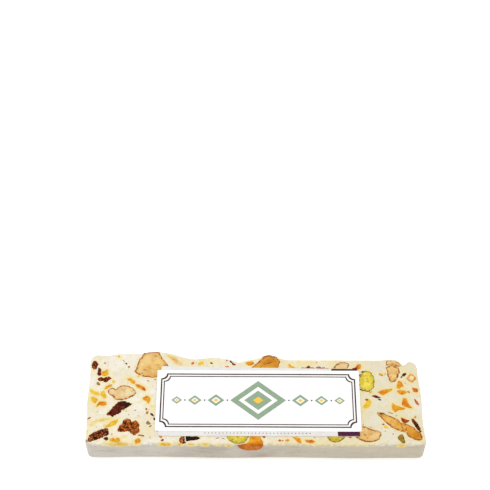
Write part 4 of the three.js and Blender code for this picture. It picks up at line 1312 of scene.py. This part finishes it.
def lozenge(x, y, width, height, steps=12):
    # its outline, with this many points along each side
    corners = [(x + width / 2, y), (x, y + height / 2), (x - width / 2, y), (x, y - height / 2)]
    return outlineSteps(corners, steps)


def scoopedFrame(inset, scoop):
    # a rectangle inside the panel whose corners are scooped out by quarter circles
    lowX, lowY = panel["left"] + inset, panel["front"] + inset
    highX, highY = panel["right"] - inset, panel["back"] - inset
    spots = []
    quarter = np.linspace(0, math.pi / 2, 9)
    for cornerX, cornerY, start in ((highX, highY, -math.pi / 2), (lowX, highY, 0),
                                    (lowX, lowY, math.pi / 2), (highX, lowY, math.pi)):
        turn = start - quarter
        spots.append(np.stack([cornerX + scoop * np.cos(turn), cornerY + scoop * np.sin(turn)], 1))
    return outlineSteps(np.concatenate(spots), 8)


# what is printed: widths and heights in mm
printPlan = {
    "frames": [(1.8, 2.4), (3.1, 3.55)],            # how far in each line's two sides lie
    "scoop": 2.6,
    "largeBand": ((25, 20), (17.5, 14)),            # the lozenge in the middle, from its rim inwards
    "largeFill": (12.5, 10),
    "largeHeart": (4.6, 3.7),
    "widths": (7.6, 6.2, 4.8),                      # of the smaller ones on either side
    "tall": 0.8,                                    # their height as a share of their width
    "hole": 0.55,                                   # and their hole and heart as shares of both
    "heart": 0.3,
    "space": 2.6,                                   # between two lozenges, with a dot half way
    "dot": (0.9, 0.9),
    # the plum block's left corners, and its margins at the right, front and back right and left
    "block": {"frontLeft": 36.7, "backLeft": 34.8, "margins": (0.1, 0.03, -0.03, 0.1)},
    "smallDots": {"from": -22, "to": 26, "step": 1.6, "size": (0.55, 0.5), "below": 0.9, "steps": 3},
}


def makePrint(plan):
    # A thin brown frame with scooped corners round a row of lozenges, largest in the middle.
    sage, brown = makeInkMaterial("sage", ink), makeInkMaterial("brown", ink)
    yellow, plum = makeInkMaterial("yellow", ink), makeInkMaterial("plum", ink)
    middleX = (panel["left"] + panel["right"]) / 2
    middleY = (panel["front"] + panel["back"]) / 2
    level = panel["top"]
    rim, hole = [lozenge(middleX, middleY, *size) for size in plan["largeBand"]]
    green = [inkBand(rim, hole, level), inkPatch(lozenge(middleX, middleY, *plan["largeFill"]), level)]
    gold = [inkPatch(lozenge(middleX, middleY, *plan["largeHeart"]), level + ink["proud"])]
    dark = []
    for side in (-1, 1):
        reached = plan["largeBand"][0][0] / 2       # how far the row has come on this side
        for width in plan["widths"]:
            x = middleX + side * (reached + plan["space"] + width / 2)
            size = np.array([width, width * plan["tall"]])
            rim, hole = lozenge(x, middleY, *size), lozenge(x, middleY, *size * plan["hole"])
            green.append(inkBand(rim, hole, level))
            gold.append(inkPatch(lozenge(x, middleY, *size * plan["heart"]), level))
            dotX = middleX + side * (reached + plan["space"] / 2)
            dark.append(inkPatch(lozenge(dotX, middleY, *plan["dot"]), level))
            reached += plan["space"] + width
    for outer, inner in plan["frames"]:
        dark.append(inkBand(scoopedFrame(outer, plan["scoop"]), scoopedFrame(inner, plan["scoop"]), level))
    placeInk("sagePrint", green, sage)
    placeInk("brownPrint", dark, brown)
    placeInk("yellowPrint", gold, yellow)

    # on the lower sheet: a block of plum at its right end, and a row of small dots in front of the panel
    level = labelPlan["bottom"] + labelPlan["thickness"]
    (rightX, frontY), backY = paper["corners"][1], paper["corners"][2][1]
    atRight, atFront, atBackRight, atBackLeft = plan["block"]["margins"]
    block = [(plan["block"]["frontLeft"], frontY + atFront), (rightX - atRight, frontY + atFront),
             (rightX - atRight, backY + atBackRight), (plan["block"]["backLeft"], backY + atBackLeft)]
    placeInk("plumPrint", [inkPatch(outlineSteps(block, 20), level)], plum)
    small = plan["smallDots"]
    dotY = panel["front"] - small["below"]
    dots = [inkPatch(lozenge(x, dotY, *small["size"], small["steps"]), level)
            for x in np.arange(small["from"], small["to"], small["step"])]
    placeInk("dotPrint", dots, brown)
    print("label printed")


makePrint(printPlan)


studio = {
    "floor": "F8F8F6", "floorSize": 4.0, "floorGlow": 0.34, "floorRoughness": 0.9,
    "sky": 0.93, "lamp": 2.6, "lampSize": 1.0, "lampAt": (-0.15, 0.35, 1.1),
    "cameraAt": (-2.9, -305.4, 542.0), "cameraTilt": 36.54, "cameraTurn": 0.28,
    "lens": 99.42, "sensor": 36.0, "nearest": 0.01,
}


def makeStudio(look):
    # A pale floor under an even white sky, one square softbox above and behind, and a long lens.
    half = look["floorSize"] / 2
    mesh = bpy.data.meshes.new("floor")
    corners = [(-half, -half, 0), (half, -half, 0), (half, half, 0), (-half, half, 0)]
    mesh.from_pydata(corners, [], [(0, 1, 2, 3)])
    # Opal acrylic lit from below, so that the floor stays pale right up to the bar.
    material = bpy.data.materials.new("opalAcrylic")
    material.use_nodes = True
    shader = material.node_tree.nodes["Principled BSDF"]
    shader.inputs["Base Color"].default_value = linearColour(look["floor"])
    shader.inputs["Roughness"].default_value = look["floorRoughness"]
    shader.inputs["Specular IOR Level"].default_value = 0.0
    shader.inputs["Emission Color"].default_value = linearColour("FFFFFF")
    shader.inputs["Emission Strength"].default_value = look["floorGlow"]
    mesh.materials.append(material)
    floor = bpy.data.objects.new("floor", mesh)
    bpy.context.scene.collection.objects.link(floor)

    world = bpy.data.worlds.new("studio")
    bpy.context.scene.world = world
    world.use_nodes = True
    sky = world.node_tree.nodes["Background"]
    sky.inputs["Color"].default_value = linearColour("FFFFFF")
    sky.inputs["Strength"].default_value = look["sky"]

    lamp = bpy.data.lights.new("softbox", "AREA")
    lamp.shape = "SQUARE"
    lamp.size = look["lampSize"]
    lamp.energy = look["lamp"]
    softbox = bpy.data.objects.new("softbox", lamp)
    softbox.location = look["lampAt"]
    aimX, aimY, aimZ = -np.array(look["lampAt"])
    softbox.rotation_euler = (math.atan2(math.hypot(aimX, aimY), -aimZ), 0, math.atan2(-aimX, aimY))
    bpy.context.scene.collection.objects.link(softbox)

    camera = bpy.data.cameras.new("camera")
    camera.sensor_width = look["sensor"]
    camera.lens = look["lens"]
    camera.clip_start = look["nearest"]
    viewer = bpy.data.objects.new("camera", camera)
    viewer.location = (np.array(look["cameraAt"]) + (shiftX, shiftY, 0)) * mm
    viewer.rotation_euler = (math.radians(look["cameraTilt"]), 0, math.radians(look["cameraTurn"]))
    bpy.context.scene.collection.objects.link(viewer)
    bpy.context.scene.camera = viewer
    bpy.context.scene.view_settings.view_transform = "Standard"


makeStudio(studio)
